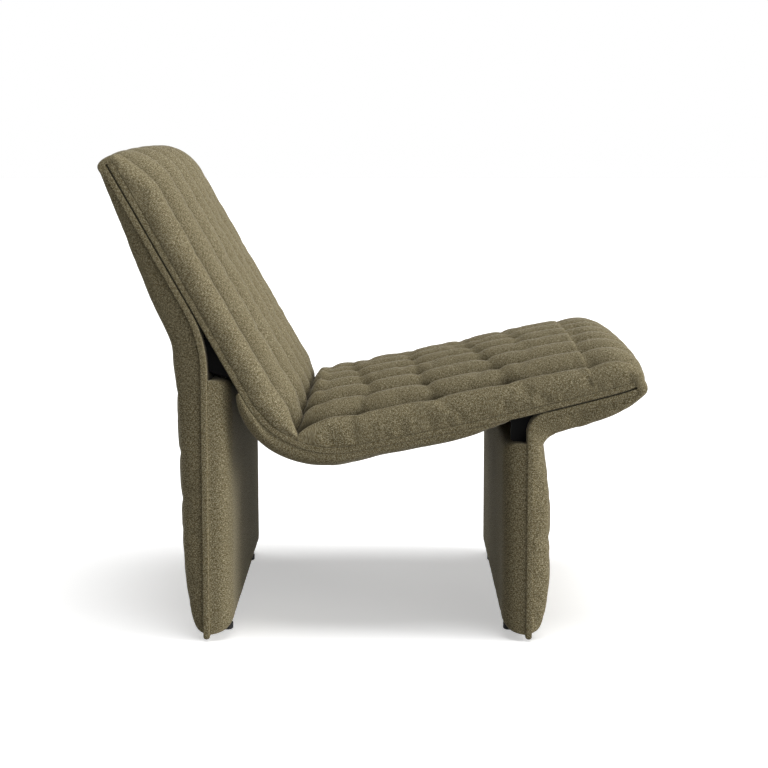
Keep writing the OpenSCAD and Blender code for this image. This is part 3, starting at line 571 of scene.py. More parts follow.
@dataclass
class Pad:
    """A sewn, stuffed piece that lies on a panel.

    Its rows run along the panel and its stations across it. quilted says whether channels are
    sewn into it, and pinches are its tufts. Fields that end in _d are depths, those in _from
    and _to are shares of the height, and those in _power shape how a curve falls off. full_t is
    the thickness from which tufts get their full depth.
    """

    name: str
    nodes: tuple
    rows: list
    quilted: bool
    filling: Filling
    fill: float
    pinches: tuple = ()
    groove: float = 0.017
    arch_steps: int = 12
    side_steps: int = 12
    half: float = LINES.pad_half
    flat_side: tuple = (-0.0030, -0.0035, -0.0036, -0.0020, 0.0032, 0.0150, 0.0390)
    round_side: tuple = (0.0030, 0.0036, 0.0050, 0.0084, 0.0145, 0.0235, 0.0390)
    side_share: tuple = (0.0, 0.12, 0.32, 0.58, 0.80, 0.945, 1.0)
    under: float = 0.004
    sunk: float = 0.0012
    cover: float = 0.0007
    cover_to: float = 0.9
    tuck_to: float = 0.6
    hold_to: float = 0.6
    crown_power: float = 2.5
    crease_power: float = 1.6
    full_t: float = 0.05
    groove_share: float = 0.42
    teeth_share: float = 0.50
    closing: float = 1.2
    open_lid: float = 0.98
    dip_from: float = 0.15
    dip_over: float = 0.5
    dip_limit: float = 0.75
    shade_limit: float = 1.6
    tuft_d: float = 0.0095
    tuft_across: float = 0.014
    tuft_along: float = 0.013
    tuft_power: float = 0.6
    stitch_r: float = 0.006
    fold_d: float = 0.0080
    fold_reach: float = 0.0075
    fold_power: float = 1.2
    fold_middle: float = 0.55
    fold_ends: float = 0.45
    fold_ends_power: float = 1.5
    fold_turn: float = 0.035
    shade: np.ndarray = None

    def stations(self) -> tuple:
        """Lays out the stations across the pad.

        Returns:
            Distance from the middle with flat and with rounded sides, share of the height and
            channel place of each station. The channel place is 0 on the line at the sitter's
            left and rises by 1 to the next.
        """
        knots = np.linspace(0.0, 1.0, len(self.side_share))
        steps = np.linspace(0.0, 1.0, self.side_steps + 1)[:-1]
        h_side = smooth_through(knots, self.side_share, steps)
        line = -self.line_y(0)
        count = LINES.channels * self.arch_steps
        y_mid = np.linspace(line, -line, count + 1)
        both = []
        for drawn in (self.flat_side, self.round_side):
            y_side = self.half - smooth_through(knots, drawn, steps) * (self.half - line) / drawn[-1]
            y_side = np.concatenate([[self.half - self.under], y_side])
            both.append(np.concatenate([y_side, y_mid, -y_side[::-1]]))
        h = np.concatenate([[0.0], h_side, np.ones(count + 1), h_side[::-1], [0.0]])
        return both[0], both[1], np.clip(h, 0, 1), (line - both[0]) / (2 * line / LINES.channels)

    def column(self, key: str) -> np.ndarray:
        """Lists one value of all rows, as a column."""
        return np.array([getattr(r, key) for r in self.rows])[:, None]

    def crown(self, y: np.ndarray) -> np.ndarray:
        """Works out how the height falls off towards the sides.

        Args:
            y: Distance from the middle of every point.

        Returns:
            Share of the height that every point keeps.
        """
        shoulder, left = self.column("shoulder"), self.column("left")
        reach = np.minimum(np.abs(y) / (self.half + LINES.side_bulge), 1.0)
        crown = shoulder + (1 - shoulder) * (1 - reach ** self.crown_power)
        return crown * (1 - (1 - left) * reach ** self.crease_power)

    def quilting(self, y: np.ndarray, h: np.ndarray, lane: np.ndarray, run: np.ndarray,
                 thick: np.ndarray) -> tuple:
        """Works out how channels, tufts and folds draw the skin in, and stores their depth as painted
        shade.

        Args:
            y: Distance from the middle of every point.
            h: Share of the height of the stations.
            lane: Channel place of the stations.
            run: Distance along the skin of every row.
            thick: Thickness of every row.

        Returns:
            Depth at every point, depth of the channels' valleys from 0 to 1 by station, and the
            mask of held points.
        """
        lid = self.column("lid")
        aside = np.minimum(np.abs(lane - np.clip(np.rint(lane), 0, LINES.channels)), 0.5)[None, :]
        valley = (1 - 2 * aside) ** 2
        strong = np.minimum(1.0, thick / self.full_t)
        depth = np.minimum(self.groove, self.groove_share * thick)
        dip = ((depth + self.column("teeth") * self.teeth_share * thick) * valley
               * np.minimum(lid * self.closing, 1))
        held = np.maximum((aside < 1e-6) & (lid > self.open_lid), self.column("hold"))
        for pinch in self.pinches:
            dip = dip + self.tuft(pinch, y, run) * strong
        dip = dip + self.folds(run, lane) * strong
        held = np.maximum(held, self.tuft_hold(y, run))
        held = np.maximum(held, (self.column("wide") > 0) & (h < self.hold_to)[None, :])
        dip = dip * np.clip((h - self.dip_from) / self.dip_over, 0, 1)[None, :]
        # Painted shade: the valleys' depth, kept for the cloth to darken there as though shaded.
        self.shade = np.clip(dip / self.groove, 0, self.shade_limit)
        return dip, valley, held

    def skin(self) -> tuple:
        """Shapes the skin before its stuffing swells it.

        Returns:
            Places as rows by columns by 3, cloth map as rows by columns by 2, the mask of held
            points.
        """
        y_flat, y_round, h, lane = self.stations()
        base, crest, tuck = (np.array([getattr(r, key) for r in self.rows])[:, None, :] for key in
                             ("base", "crest", "foot"))
        turned, wide, lid = (self.column(key) for key in ("turned", "wide", "lid"))
        y = y_flat[None, :] * (1 - turned) + y_round[None, :] * turned
        low = np.clip(1 - h / self.cover_to, 0, 1)
        inner = (np.abs(y_flat) < self.half - self.under / 2) & (h == 0)
        y = y + np.sign(y) * wide * (self.cover * low + self.under * inner[None, :])
        tucked = np.where(inner, 0.0, np.clip(1 - h / self.tuck_to, 0, 1))
        foot = base + (tuck - base) * tucked[None, :, None]
        thick = np.linalg.norm(crest - base, axis=2)
        sunk = self.sunk * ((h == 0) & ~inner)
        foot = foot - (crest - base) / np.maximum(thick, MERGE)[:, :, None] * sunk[None, :, None]
        rise = crest - foot
        share = h[None, :] * self.crown(y) * lid
        top = foot + rise * share[:, :, None]
        run = np.concatenate([np.zeros((1, len(h))),
                              np.cumsum(np.linalg.norm(np.diff(top, axis=0), axis=2), axis=0)])
        held = np.zeros_like(share)
        pushed = 0.0
        if self.quilted:
            dip, valley, held = self.quilting(y, h, lane, run[:, len(h) // 2][:, None], thick)
            share = share - np.minimum(dip / np.maximum(thick, 1e-6), self.dip_limit * share)
            pushed = self.column("push") * valley * h[None, :]
        top = foot + rise * share[:, :, None]
        points = np.stack([top[:, :, 0], y, top[:, :, 1]], axis=2)
        points[:, :, 0] -= pushed
        held[:, :2] = held[:, -2:] = 1.0
        held[0, :] = held[-1, :] = 1.0
        held = np.maximum(held, (lid < self.hold_to) * np.ones_like(held))
        across = np.cumsum(np.linalg.norm(np.diff(points, axis=1, prepend=points[:, :1]), axis=2), axis=1)
        across = across - across[:, len(h) // 2][:, None]
        uv = np.stack(np.broadcast_arrays(across, run.mean(axis=1)[:, None]), axis=2)
        return points, uv, held

    def line_y(self, line: int) -> float:
        """Distance of a channel line from the middle, with line 0 at the sitter's right."""
        return -LINES.line_y + line * LINES.channel_w

    def tuft(self, pinch: Pinch, y: np.ndarray, run: np.ndarray) -> np.ndarray:
        """Works out the dimple of one tuft.

        Args:
            pinch: The tuft.
            y: Distance from the middle of every point.
            run: Distance along the skin of every row.

        Returns:
            Depth at every point.
        """
        dy = (y - self.line_y(pinch.line)) / self.tuft_across
        da = (run - pinch.along) / self.tuft_along
        return self.tuft_d * pinch.strength * np.exp(-(dy ** 2 + da ** 2) ** self.tuft_power)

    def folds(self, run: np.ndarray, lane: np.ndarray) -> np.ndarray:
        """Works out the folds across the channels between the tufts of one row.

        Args:
            run: Distance along the skin of every row.
            lane: Channel place of the stations.

        Returns:
            Depth at every point.
        """
        depth = np.zeros((len(run), len(lane)))
        place = LINES.channels - lane
        for one in self.pinches:
            near = [p for p in self.pinches
                    if p.line == one.line + 1 and abs(p.along - one.along) < self.fold_turn]
            if not near:
                continue
            two = min(near, key=lambda p: abs(p.along - one.along))
            u = (place - one.line)[None, :]
            inside = (u >= 0) & (u <= 1)
            u = np.clip(u, 0, 1)
            along = one.along + (two.along - one.along) * u
            strength = one.strength + (two.strength - one.strength) * u
            shape = self.fold_middle + self.fold_ends * np.abs(2 * u - 1) ** self.fold_ends_power
            side = np.exp(-np.abs((run - along) / self.fold_reach) ** self.fold_power)
            depth = np.maximum(depth, self.fold_d * strength * shape * side * inside)
        return depth

    def tuft_hold(self, y: np.ndarray, run: np.ndarray) -> np.ndarray:
        """Marks the points that a tuft's stitches hold.

        Args:
            y: Distance from the middle of every point.
            run: Distance along the skin of every row.

        Returns:
            1 at the tufts and 0 elsewhere.
        """
        held = np.zeros_like(y)
        for pinch in self.pinches:
            far = np.hypot(y - self.line_y(pinch.line), run - pinch.along)
            held = np.maximum(held, (far < self.stitch_r) * 1.0)
        return held

    def build(self, cloth: bpy.types.Material) -> None:
        """Makes the pad.

        Args:
            cloth: The fabric's material.
        """
        points, uv, held = self.skin()
        piece = grid_piece(self.name, points, uv)
        rows, cols = points.shape[:2]
        close_base(piece, rows, cols)
        shade_piece(piece, np.zeros((rows, cols)) if self.shade is None else self.shade)
        self.filling.swell(piece, held[grid_places(piece)])
        finish_piece(piece, self.nodes, cloth, 1, self.fill)


def smooth_through(knots: np.ndarray, values: list, at: np.ndarray) -> np.ndarray:
    """Runs a smooth curve through values.

    Args:
        knots: Place of each value.
        values: The values.
        at: Places that are wanted.

    Returns:
        The curve's values there.
    """
    values = np.asarray(values, float)
    slopes = np.gradient(values, knots)
    i = np.clip(np.searchsorted(knots, at, side="right") - 1, 0, len(knots) - 2)
    w = knots[i + 1] - knots[i]
    u = (at - knots[i]) / w
    return ((2 * u ** 3 - 3 * u ** 2 + 1) * values[i] + (u ** 3 - 2 * u ** 2 + u) * w * slopes[i]
            + (3 * u ** 2 - 2 * u ** 3) * values[i + 1] + (u ** 3 - u ** 2) * w * slopes[i + 1])


# ---------------------------------------------------------------- the chair's sub-assemblies


@dataclass(frozen=True)
class Crease:
    """Where the pads of back and seat meet, and how they close there."""

    turn: float = math.radians(38)
    reach: float = 0.060
    side: float = 0.36
    lean: float = 0.016
    back_round: float = 0.007
    seat_round: float = 0.018
    teeth_reach: float = 0.045
    push: float = 0.015
    wall_steps: int = 6
    wall_round: float = 0.02
    fine: float = 0.020
    fine_end: float = 0.022
    fine_steps: int = 14

    @property
    def s(self) -> float:
        """Distance along the shell to the crease."""
        return LINES.straight_back + LINES.bend_r * self.turn

    def places(self, start: float, way: int, end: float, steps: int) -> np.ndarray:
        """Lays out distances along the shell from the crease to an end, closely spaced at first."""
        return np.concatenate([start + way * np.linspace(0, self.fine, self.fine_steps),
                               np.linspace(start + way * self.fine_end, end, steps)])


CREASE = Crease()
SIDE_SHARE = 0.62
LEG_SIDE_SHARE = 0.90
JOIN_T = 0.0065
JOIN_GAP = 0.003
PAD_FOOT = 0.008
FOOT_STEPS = 2
FOOT_ROUND = 0.3
FOOT_FROM = 0.03
FOOT_PLACES = np.linspace(0.029, 0.0, 25)
RIBBON_PITCH = 0.0063
PLAIN_PITCH = 0.0075
TUFT_SWAY = 0.006
LEG_TUFT = 0.5


def over_bend(s: float, t: float, start: float) -> float:
    """Thickness on the bend at which a crest runs on straight.

    Args:
        s: Distance along the shell.
        t: Thickness outside the bend.
        start: The bend's end from which the crest runs on.

    Returns:
        Thickness at that distance.
    """
    if not LINES.straight_back < s < LINES.bend_end:
        return t
    inner = LINES.bend_r - LINES.face
    return inner - (inner - t) / math.cos((s - start) / LINES.bend_r)


def shell_row(s: float, t: float, start: float, d: float, round_r: float) -> Row:
    """Makes one row of a pad on the shell.

    Args:
        s: Distance along the shell.
        t: Thickness of the pad there, outside the bend.
        start: The bend's end from which the crest runs on.
        d: Distance from the crease.
        round_r: Radius of the pad's end at the crease.

    Returns:
        The row.
    """
    near = near_end(d, CREASE.reach)
    q = s - CREASE.lean * near
    lid = 1 - round_r / t * (1 - foot_share(d, round_r))
    teeth = near_end(d, CREASE.teeth_reach)
    crest = LINES.shell.beside(q, LINES.face + over_bend(q, t, start))
    return Row(LINES.shell.beside(s, LINES.pad_base), crest, SIDE_SHARE, 1 - (1 - CREASE.side) * near,
               lid, teeth=teeth, push=CREASE.push * teeth)


def skin_run(rows: list) -> np.ndarray:
    """Distance along the middle line of a pad's skin, for each of its rows."""
    top = np.array([r.base + (r.crest - r.base) * r.lid for r in rows])
    return np.concatenate([[0.0], np.cumsum(np.linalg.norm(np.diff(top, axis=0), axis=1))])


def with_ends(body: list) -> list:
    """Spaces a ribbon's rows evenly and adds its end walls.

    Args:
        body: The rows from the crease to the foot.

    Returns:
        The new rows, with a wall at the crease and one at the foot.
    """
    wall = closed_end(body[0], CREASE.wall_steps, CREASE.wall_round)
    foot = closed_end(body[-1], FOOT_STEPS, FOOT_ROUND)[::-1]
    return wall + spaced(body, RIBBON_PITCH) + foot


def tuft_row(place: float, step: float, start: float) -> list:
    """Makes a slightly wavy row of tufts across a leg.

    Args:
        place: Distance along the ribbon to the row.
        step: Angle of the wave from one channel line to the next.
        start: Angle of the wave on the first line.

    Returns:
        One tuft for each channel line.
    """
    return [Pinch(line, place + TUFT_SWAY * math.sin(step * line + start), LEG_TUFT)
            for line in range(LINES.channels + 1)]


@dataclass(frozen=True)
class Nose:
    """How the cloth is pulled over the panels' ends at the sides."""

    reach: float
    ramp: float = 0.006

    def tucked(self, track: Track, s: float, d: float, end: float, way: int) -> dict:
        """Works out the tuck of a row.

        Args:
            track: Line of the panel.
            s: Distance along it.
            d: Distance beside it.
            end: Distance along it to its end.
            way: 1 where the line runs on past that end, -1 where it starts there.

        Returns:
            The row's tuck and width.
        """
        inside = (end - s) * way
        share = min(max((self.reach + self.ramp - inside) / self.ramp, 0.0), 1.0)
        place = track.beside(end - way * max(inside, self.reach), d)
        return {"tuck": place, "wide": share}


TOP_NOSE = Nose(0.0015)
LIP_NOSE = Nose(0.0060)


@dataclass(frozen=True)
class Cap:
    """Rounding of a ribbon over the ends of the shell and of a leg panel."""

    nose: Nose
    end: float
    way: int
    crown_t: float
    curve: float
    over: float
    lift: float
    fall: float
    over_steps: int = 40
    join_steps: int = 10
    set_in: float = 1.2
    rise: float = 5.0
    fall_power: int = 5

    def rows(self) -> list:
        """Makes the rows over the end.

        Returns:
            The rows from the shell's pad to the leg's outer face.
        """
        shell, gap = LINES.shell, LINES.soft_gap
        high = self.crown_t + LINES.face
        join_h = -LINES.lap - LINES.pad_base
        rows = []
        for k in range(1, self.over_steps + 1):
            q = k / self.over_steps * math.pi / 2
            back = 1 - self.set_in * k / self.over_steps
            s = self.end - self.way * LINES.cap_reach * max(back, 0.0)
            high_up = LINES.pad_base * (1 + self.rise * min(back, 0.0))
            base = shell.beside(s, high_up, self.way * gap if back <= 0 else 0.0)
            ahead = -LINES.cap_reach + (LINES.cap_reach + self.over) * math.sin(q) ** self.curve
            crest = shell.beside(self.end, high * max(math.cos(q), 0.0) ** self.curve, self.way * ahead)
            share = (SIDE_SHARE + self.lift * math.sin(2 * q)
                     - self.fall * (k / self.over_steps) ** self.fall_power)
            tuck = self.nose.tucked(shell, s, high_up, self.end, self.way)
            rows.append(Row(base, crest, share, **tuck))
        low = SIDE_SHARE - self.fall
        for k in range(1, self.join_steps + 1):
            q = k / self.join_steps * math.pi / 2
            down = join_h * k / self.join_steps
            base = shell.beside(self.end, down, self.way * gap)
            ahead = gap + (self.over - gap) * math.cos(q)
            crest = shell.beside(self.end, (join_h - JOIN_T) * math.sin(q), self.way * ahead)
            tuck = self.nose.tucked(shell, self.end, down, self.end, self.way)
            rows.append(Row(base, crest, low + (1 - low) * k / self.join_steps, **tuck))
        return rows


@dataclass(frozen=True)
class RearRibbon:
    """Quilted ribbon from the crease up the back, over the top and down the rear leg."""

    pad_t: float = 0.069
    knee_t: float = 0.051
    foot_t: float = 0.0400
    swell_reach: float = 0.272
    knee_puff: float = 0.004
    knee_puff_at: float = 0.345
    knee_puff_reach: float = 0.028
    foot_round: float = 0.165
    swell_power: float = 0.85
    knee_hold: float = 0.8
    hold_reach: float = 0.03
    tuft_up: float = 0.215
    tuft_step: float = 2.1
    turn_reach: float = 0.090
    back_steps: int = 70
    leg_steps: int = 110

    def leg_row(self, s: float, length: float) -> Row:
        """Makes one row on the rear leg.

        Args:
            s: Distance along the leg.
            length: Distance at which the pad ends.

        Returns:
            The row.
        """
        along = min(max((s - self.swell_reach) / (length - self.foot_round - self.swell_reach), 0.0), 1.0)
        full = self.knee_t + (self.foot_t - self.knee_t) * along
        t = (JOIN_T + (full - JOIN_T) * ease((s / self.swell_reach) ** self.swell_power)
             * foot_share(length - s, self.foot_round))
        t += self.knee_puff * math.exp(-((s - self.knee_puff_at) / self.knee_puff_reach) ** 2)
        leg = LINES.rear_leg
        share = LEG_SIDE_SHARE + (1 - LEG_SIDE_SHARE) * near_end(s, self.swell_reach)
        tuck = TOP_NOSE.tucked(leg, s, -LINES.pad_base, 0.0, -1)
        bend = leg.parts[0][0], leg.parts[0][0] + leg.parts[1][0]
        hold = self.knee_hold * (bend[0] - self.hold_reach <= s <= bend[1] + self.hold_reach)
        return Row(leg.beside(s, -LINES.pad_base), leg.beside(s, -LINES.pad_base - t), share,
                   turned=ease(s / self.turn_reach), hold=hold, **tuck)

    def rows(self) -> list:
        """Makes all rows, evenly spaced, with both end walls.

        Returns:
            The rows from the crease to the floor.
        """
        start = CREASE.s - LINES.soft_gap / 2
        body = [shell_row(s, self.pad_t, LINES.straight_back, CREASE.s - s, CREASE.back_round)
                for s in CREASE.places(start, -1, LINES.cap_reach, self.back_steps)]
        body += Cap(nose=TOP_NOSE, end=0.0, way=-1, crown_t=self.pad_t, curve=0.87, over=0.0110,
                    lift=-0.12, fall=-0.18).rows()
        length = LINES.rear_leg.length - PAD_FOOT
        body += [self.leg_row(s, length) for s in np.concatenate(
            [np.linspace(JOIN_GAP, length - FOOT_FROM, self.leg_steps), length - FOOT_PLACES])]
        return with_ends(body)

    def build(self, cloth: bpy.types.Material) -> None:
        """Makes the ribbon.

        Args:
            cloth: The fabric's material.
        """
        rows = self.rows()
        low = max(range(len(rows)), key=lambda i: rows[i].crest[1])
        along = min(range(low, len(rows)), key=lambda i: abs(rows[i].crest[1] - self.tuft_up))
        Pad("rear_ribbon", ("back_quilt", "back_foam", "rear_outer_quilt", "rear_outer_foam"), rows,
            quilted=True, filling=Filling(4.0, 0.015, 0.0035), fill=0.75,
            pinches=tuple(tuft_row(skin_run(rows)[along], self.tuft_step, 0.0))).build(cloth)


# Rows of the seat's tufts: channel line, counted from the sitter's right, and place along X
SEAT_TUFTS = (
    ((0, -0.030), (1, -0.006), (2, -0.015), (3, -0.026), (4, -0.036), (5, -0.040), (6, -0.042),
     (7, -0.040)),
    ((0, 0.088), (1, 0.074), (2, 0.071), (3, 0.069), (4, 0.062), (5, 0.058), (6, 0.062), (7, 0.064)),
    ((0, 0.199), (1, 0.184), (2, 0.171), (3, 0.166), (4, 0.158), (5, 0.153), (6, 0.151), (7, 0.150)),
    ((3, 0.239), (4, 0.234), (5, 0.229), (6, 0.222), (7, 0.221)),
    ((5, -0.093), (6, -0.095), (7, -0.092)),
    ((0, 0.332), (1, 0.322), (2, 0.329), (3, 0.337), (4, 0.342), (5, 0.345)),
)
ROW_STRENGTH = (1.0, 1.0, 1.2, 1.1, 0.7, 0.25)


@dataclass(frozen=True)
class FrontRibbon:
    """Quilted ribbon from the crease along the seat, round the lip and down the front leg."""

    pad_t: float = 0.077
    lip_t: float = 0.0687
    thinning: float = 0.140
    leg_t: float = 0.0333
    knee_t: float = 0.0180
    hollow_r: float = 0.030
    knee_fill: float = 0.0045
    fill_reach: float = 0.090
    lip_taper: float = 0.105
    foot_round: float = 0.090
    leg_thinning: float = 0.130
    turn_reach: float = 0.12
    hold_down: float = 0.02
    hold_up: float = 0.03
    tuft_shift: float = 0.004
    leg_tufts: tuple = (0.215, 0.152)
    tuft_step: float = 1.7
    tuft_turn: float = 40
    puff: float = 0.010
    puff_at: float = 0.008
    puff_reach: float = 0.014
    seat_steps: int = 90
    lip_steps: int = 40
    knee_steps: int = 14
    leg_steps: int = 60

    def leg_row(self, s: float) -> Row:
        """Makes one row on the front leg.

        Args:
            s: Distance along the leg from the floor.

        Returns:
            The row.
        """
        leg, base = LINES.front_leg, LINES.pad_base
        rise, knee = leg.parts[0][0], leg.parts[0][0] + leg.parts[1][0]
        out = max(0.0, 1 - (leg.length - s) / self.lip_taper)
        up = max(0.0, 1 - (rise - s) / self.leg_thinning) if s <= rise else 0.0
        full = self.leg_t + (self.knee_t - self.leg_t) * ease(up)
        t = JOIN_T + (full - JOIN_T) * foot_share(s - PAD_FOOT, self.foot_round) * (1 - out * out)
        if s >= knee:
            t += self.knee_fill * near_end(s - knee, self.fill_reach)
        share = LEG_SIDE_SHARE + (1 - LEG_SIDE_SHARE) * near_end(leg.length - s, self.lip_taper)
        crest = leg.beside(s, -base - t)
        if rise <= s <= knee:
            end = leg.at(knee)
            x = leg.start[0] + base + self.knee_t + self.hollow_r
            fall = (x - end[0]) * math.sin(end[2]) - base - self.leg_t - self.knee_fill - self.hollow_r
            z = end[1] + fall / math.cos(end[2])
            heading = leg.at(s)[2]
            crest = np.array([x - self.hollow_r * math.sin(heading), z + self.hollow_r * math.cos(heading)])
        tuck = LIP_NOSE.tucked(leg, s, -base, leg.length, 1)
        turned = ease((leg.length - s) / self.turn_reach)
        hold = float(rise - self.hold_down <= s <= knee + self.hold_up)
        return Row(leg.beside(s, -base), crest, share, turned=turned, hold=hold, **tuck)

    def rows(self) -> list:
        """Makes all rows, evenly spaced, with both end walls.

        Returns:
            The rows from the crease to the floor.
        """
        end = LINES.shell.length
        start = CREASE.s + LINES.soft_gap / 2
        flat = end - LINES.cap_reach
        body = []
        for s in CREASE.places(start, 1, flat, self.seat_steps):
            t = self.pad_t - (self.pad_t - self.lip_t) * near_end(flat - s, self.thinning)
            t += self.puff * math.exp(-((s - CREASE.s - self.puff_at) / self.puff_reach) ** 2)
            body.append(shell_row(s, t, LINES.bend_end, s - CREASE.s, CREASE.seat_round))
        body += Cap(nose=LIP_NOSE, end=end, way=1, crown_t=self.lip_t, curve=0.85, over=0.0228,
                    lift=0.1, fall=0.17).rows()
        leg = LINES.front_leg
        rise, knee = leg.parts[0][0], leg.parts[0][0] + leg.parts[1][0]
        body += [self.leg_row(s) for s in np.concatenate(
            [np.linspace(leg.length - JOIN_GAP, knee, self.lip_steps),
             np.linspace(knee, rise, self.knee_steps)[1:],
             np.linspace(rise, PAD_FOOT + FOOT_FROM, self.leg_steps)[1:], PAD_FOOT + FOOT_PLACES])]
        return with_ends(body)

    def build(self, cloth: bpy.types.Material) -> None:
        """Makes the ribbon.

        Args:
            cloth: The fabric's material.
        """
        rows = self.rows()
        places = skin_run(rows)
        tip = max(range(len(rows)), key=lambda i: rows[i].crest[0])
        tufts = []
        for strength, spots in zip(ROW_STRENGTH, SEAT_TUFTS):
            for line, x in spots:
                near = min(range(CREASE.wall_steps, tip),
                           key=lambda i: abs(rows[i].crest[0] + self.tuft_shift - x))
                tufts.append(Pinch(line, places[near], strength))
        for up in self.leg_tufts:
            near = min(range(tip, len(rows)), key=lambda i: abs(rows[i].crest[1] - up))
            tufts += tuft_row(places[near], self.tuft_step, up * self.tuft_turn)
        Pad("front_ribbon", ("seat_quilt", "seat_foam", "front_outer_quilt", "front_outer_foam"), rows,
            quilted=True, filling=Filling(4.0, 0.02, 0.0035), fill=0.75,
            pinches=tuple(tufts)).build(cloth)


@dataclass(frozen=True)
class PlainPads:
    """Plain pads: one under the shell and one on the inner face of each leg."""

    under_bend_t: float = 0.034
    under_flat_t: float = 0.0172
    inner_t: float = 0.035
    foot: float = 0.011
    under_from: float = 0.018
    under_to: float = 0.056
    under_steps: int = 160
    under_shoulder: float = 0.8
    under_rear: tuple = (0.65, 0.095)
    under_front: tuple = (0.80, 0.110)
    under_edge: float = 0.001
    under_round: float = 0.006
    inner_shoulder: float = 0.93
    inner_turned: float = 0.4
    inner_foot: tuple = (0.62, 0.38, 0.022)
    inner_top: tuple = (0.92, 0.08, 0.010)
    inner_steps: tuple = (16, 40, 8)
    foot_fine: float = 0.024
    body_from: float = 0.04
    body_to: float = 0.012
    top_fine: float = 0.011
    rear_over_bend: float = 0.0325
    front_under_knee: float = 0.0149

    def under_rows(self) -> list:
        """Makes the rows of the pad under the shell.

        Returns:
            The rows from the rear to the front.
        """
        first = LINES.straight_back - self.under_from
        last = LINES.knee_s - self.under_to
        shell = LINES.shell
        (rear, rear_reach), (front, front_reach) = self.under_rear, self.under_front
        rows = []
        for s in np.linspace(first, last, self.under_steps):
            on = ease((s - LINES.straight_back - LINES.bend_len / 3) / LINES.bend_len)
            t = self.under_bend_t + (self.under_flat_t - self.under_bend_t) * on
            t *= 1 - rear * near_end(s - first, rear_reach) - front * near_end(last - s, front_reach)
            lid = min(foot_share(s - first + self.under_edge, self.under_round),
                      foot_share(last - s + self.under_edge, self.under_round))
            rows.append(Row(shell.beside(s, -LINES.pad_base), shell.beside(s, -LINES.pad_base - t),
                            self.under_shoulder, lid=lid))
        body = spaced(rows, PLAIN_PITCH)
        return [replace(body[0], lid=0.0), *body, replace(body[-1], lid=0.0)]

    def inner_rows(self, x: float, way: int, top: float) -> list:
        """Makes the rows of a leg's inner pad, from its foot up.

        Args:
            x: Middle of the leg panel.
            way: 1 where the pad lies in front of the panel, -1 behind it.
            top: Height of the pad's top.

        Returns:
            The rows.
        """
        at_x = x + way * LINES.pad_base
        foot_left, foot_rest, foot_reach = self.inner_foot
        top_left, top_rest, top_reach = self.inner_top
        rows = []
        low, body, high = self.inner_steps
        for z in np.concatenate([self.foot + np.linspace(0, self.foot_fine, low),
                                 np.linspace(self.body_from, top - self.body_to, body),
                                 top - np.linspace(self.top_fine, 0.0, high)]):
            t = self.inner_t * min(foot_left + foot_rest * foot_share(z - self.foot, foot_reach),
                                   top_left + top_rest * foot_share(top - z, top_reach))
            rows.append(Row(np.array([at_x, z]), np.array([at_x + way * t, z]), self.inner_shoulder))
        body = spaced(rows, PLAIN_PITCH)
        ends = [replace(body[i], lid=lid) for i, lid in ((0, 0.0), (0, 0.5), (-1, 0.5), (-1, 0.0))]
        return [replace(r, turned=self.inner_turned) for r in ends[:2] + body + ends[2:]]

    def build(self, cloth: bpy.types.Material) -> None:
        """Makes the three pads.

        Args:
            cloth: The fabric's material.
        """
        rear, front = LINES.rear_leg, LINES.front_leg
        rear_top = LINES.shell.at(LINES.straight_back)[1] + self.rear_over_bend
        front_top = LINES.foot_gap + front.parts[0][0] - self.front_under_knee
        for name, nodes, rows in (
                ("under_pad", ("underside_cover", "underside_foam"), self.under_rows()),
                ("rear_inner_pad", ("rear_inner_cover", "rear_inner_foam"),
                 self.inner_rows(rear.at(rear.length)[0], 1, rear_top)),
                ("front_inner_pad", ("front_inner_cover", "front_inner_foam"),
                 self.inner_rows(front.start[0], -1, front_top))):
            Pad(name, nodes, rows, quilted=False, filling=Filling(3.0, 0.01, 0.002), fill=0.85,
                arch_steps=5).build(cloth)


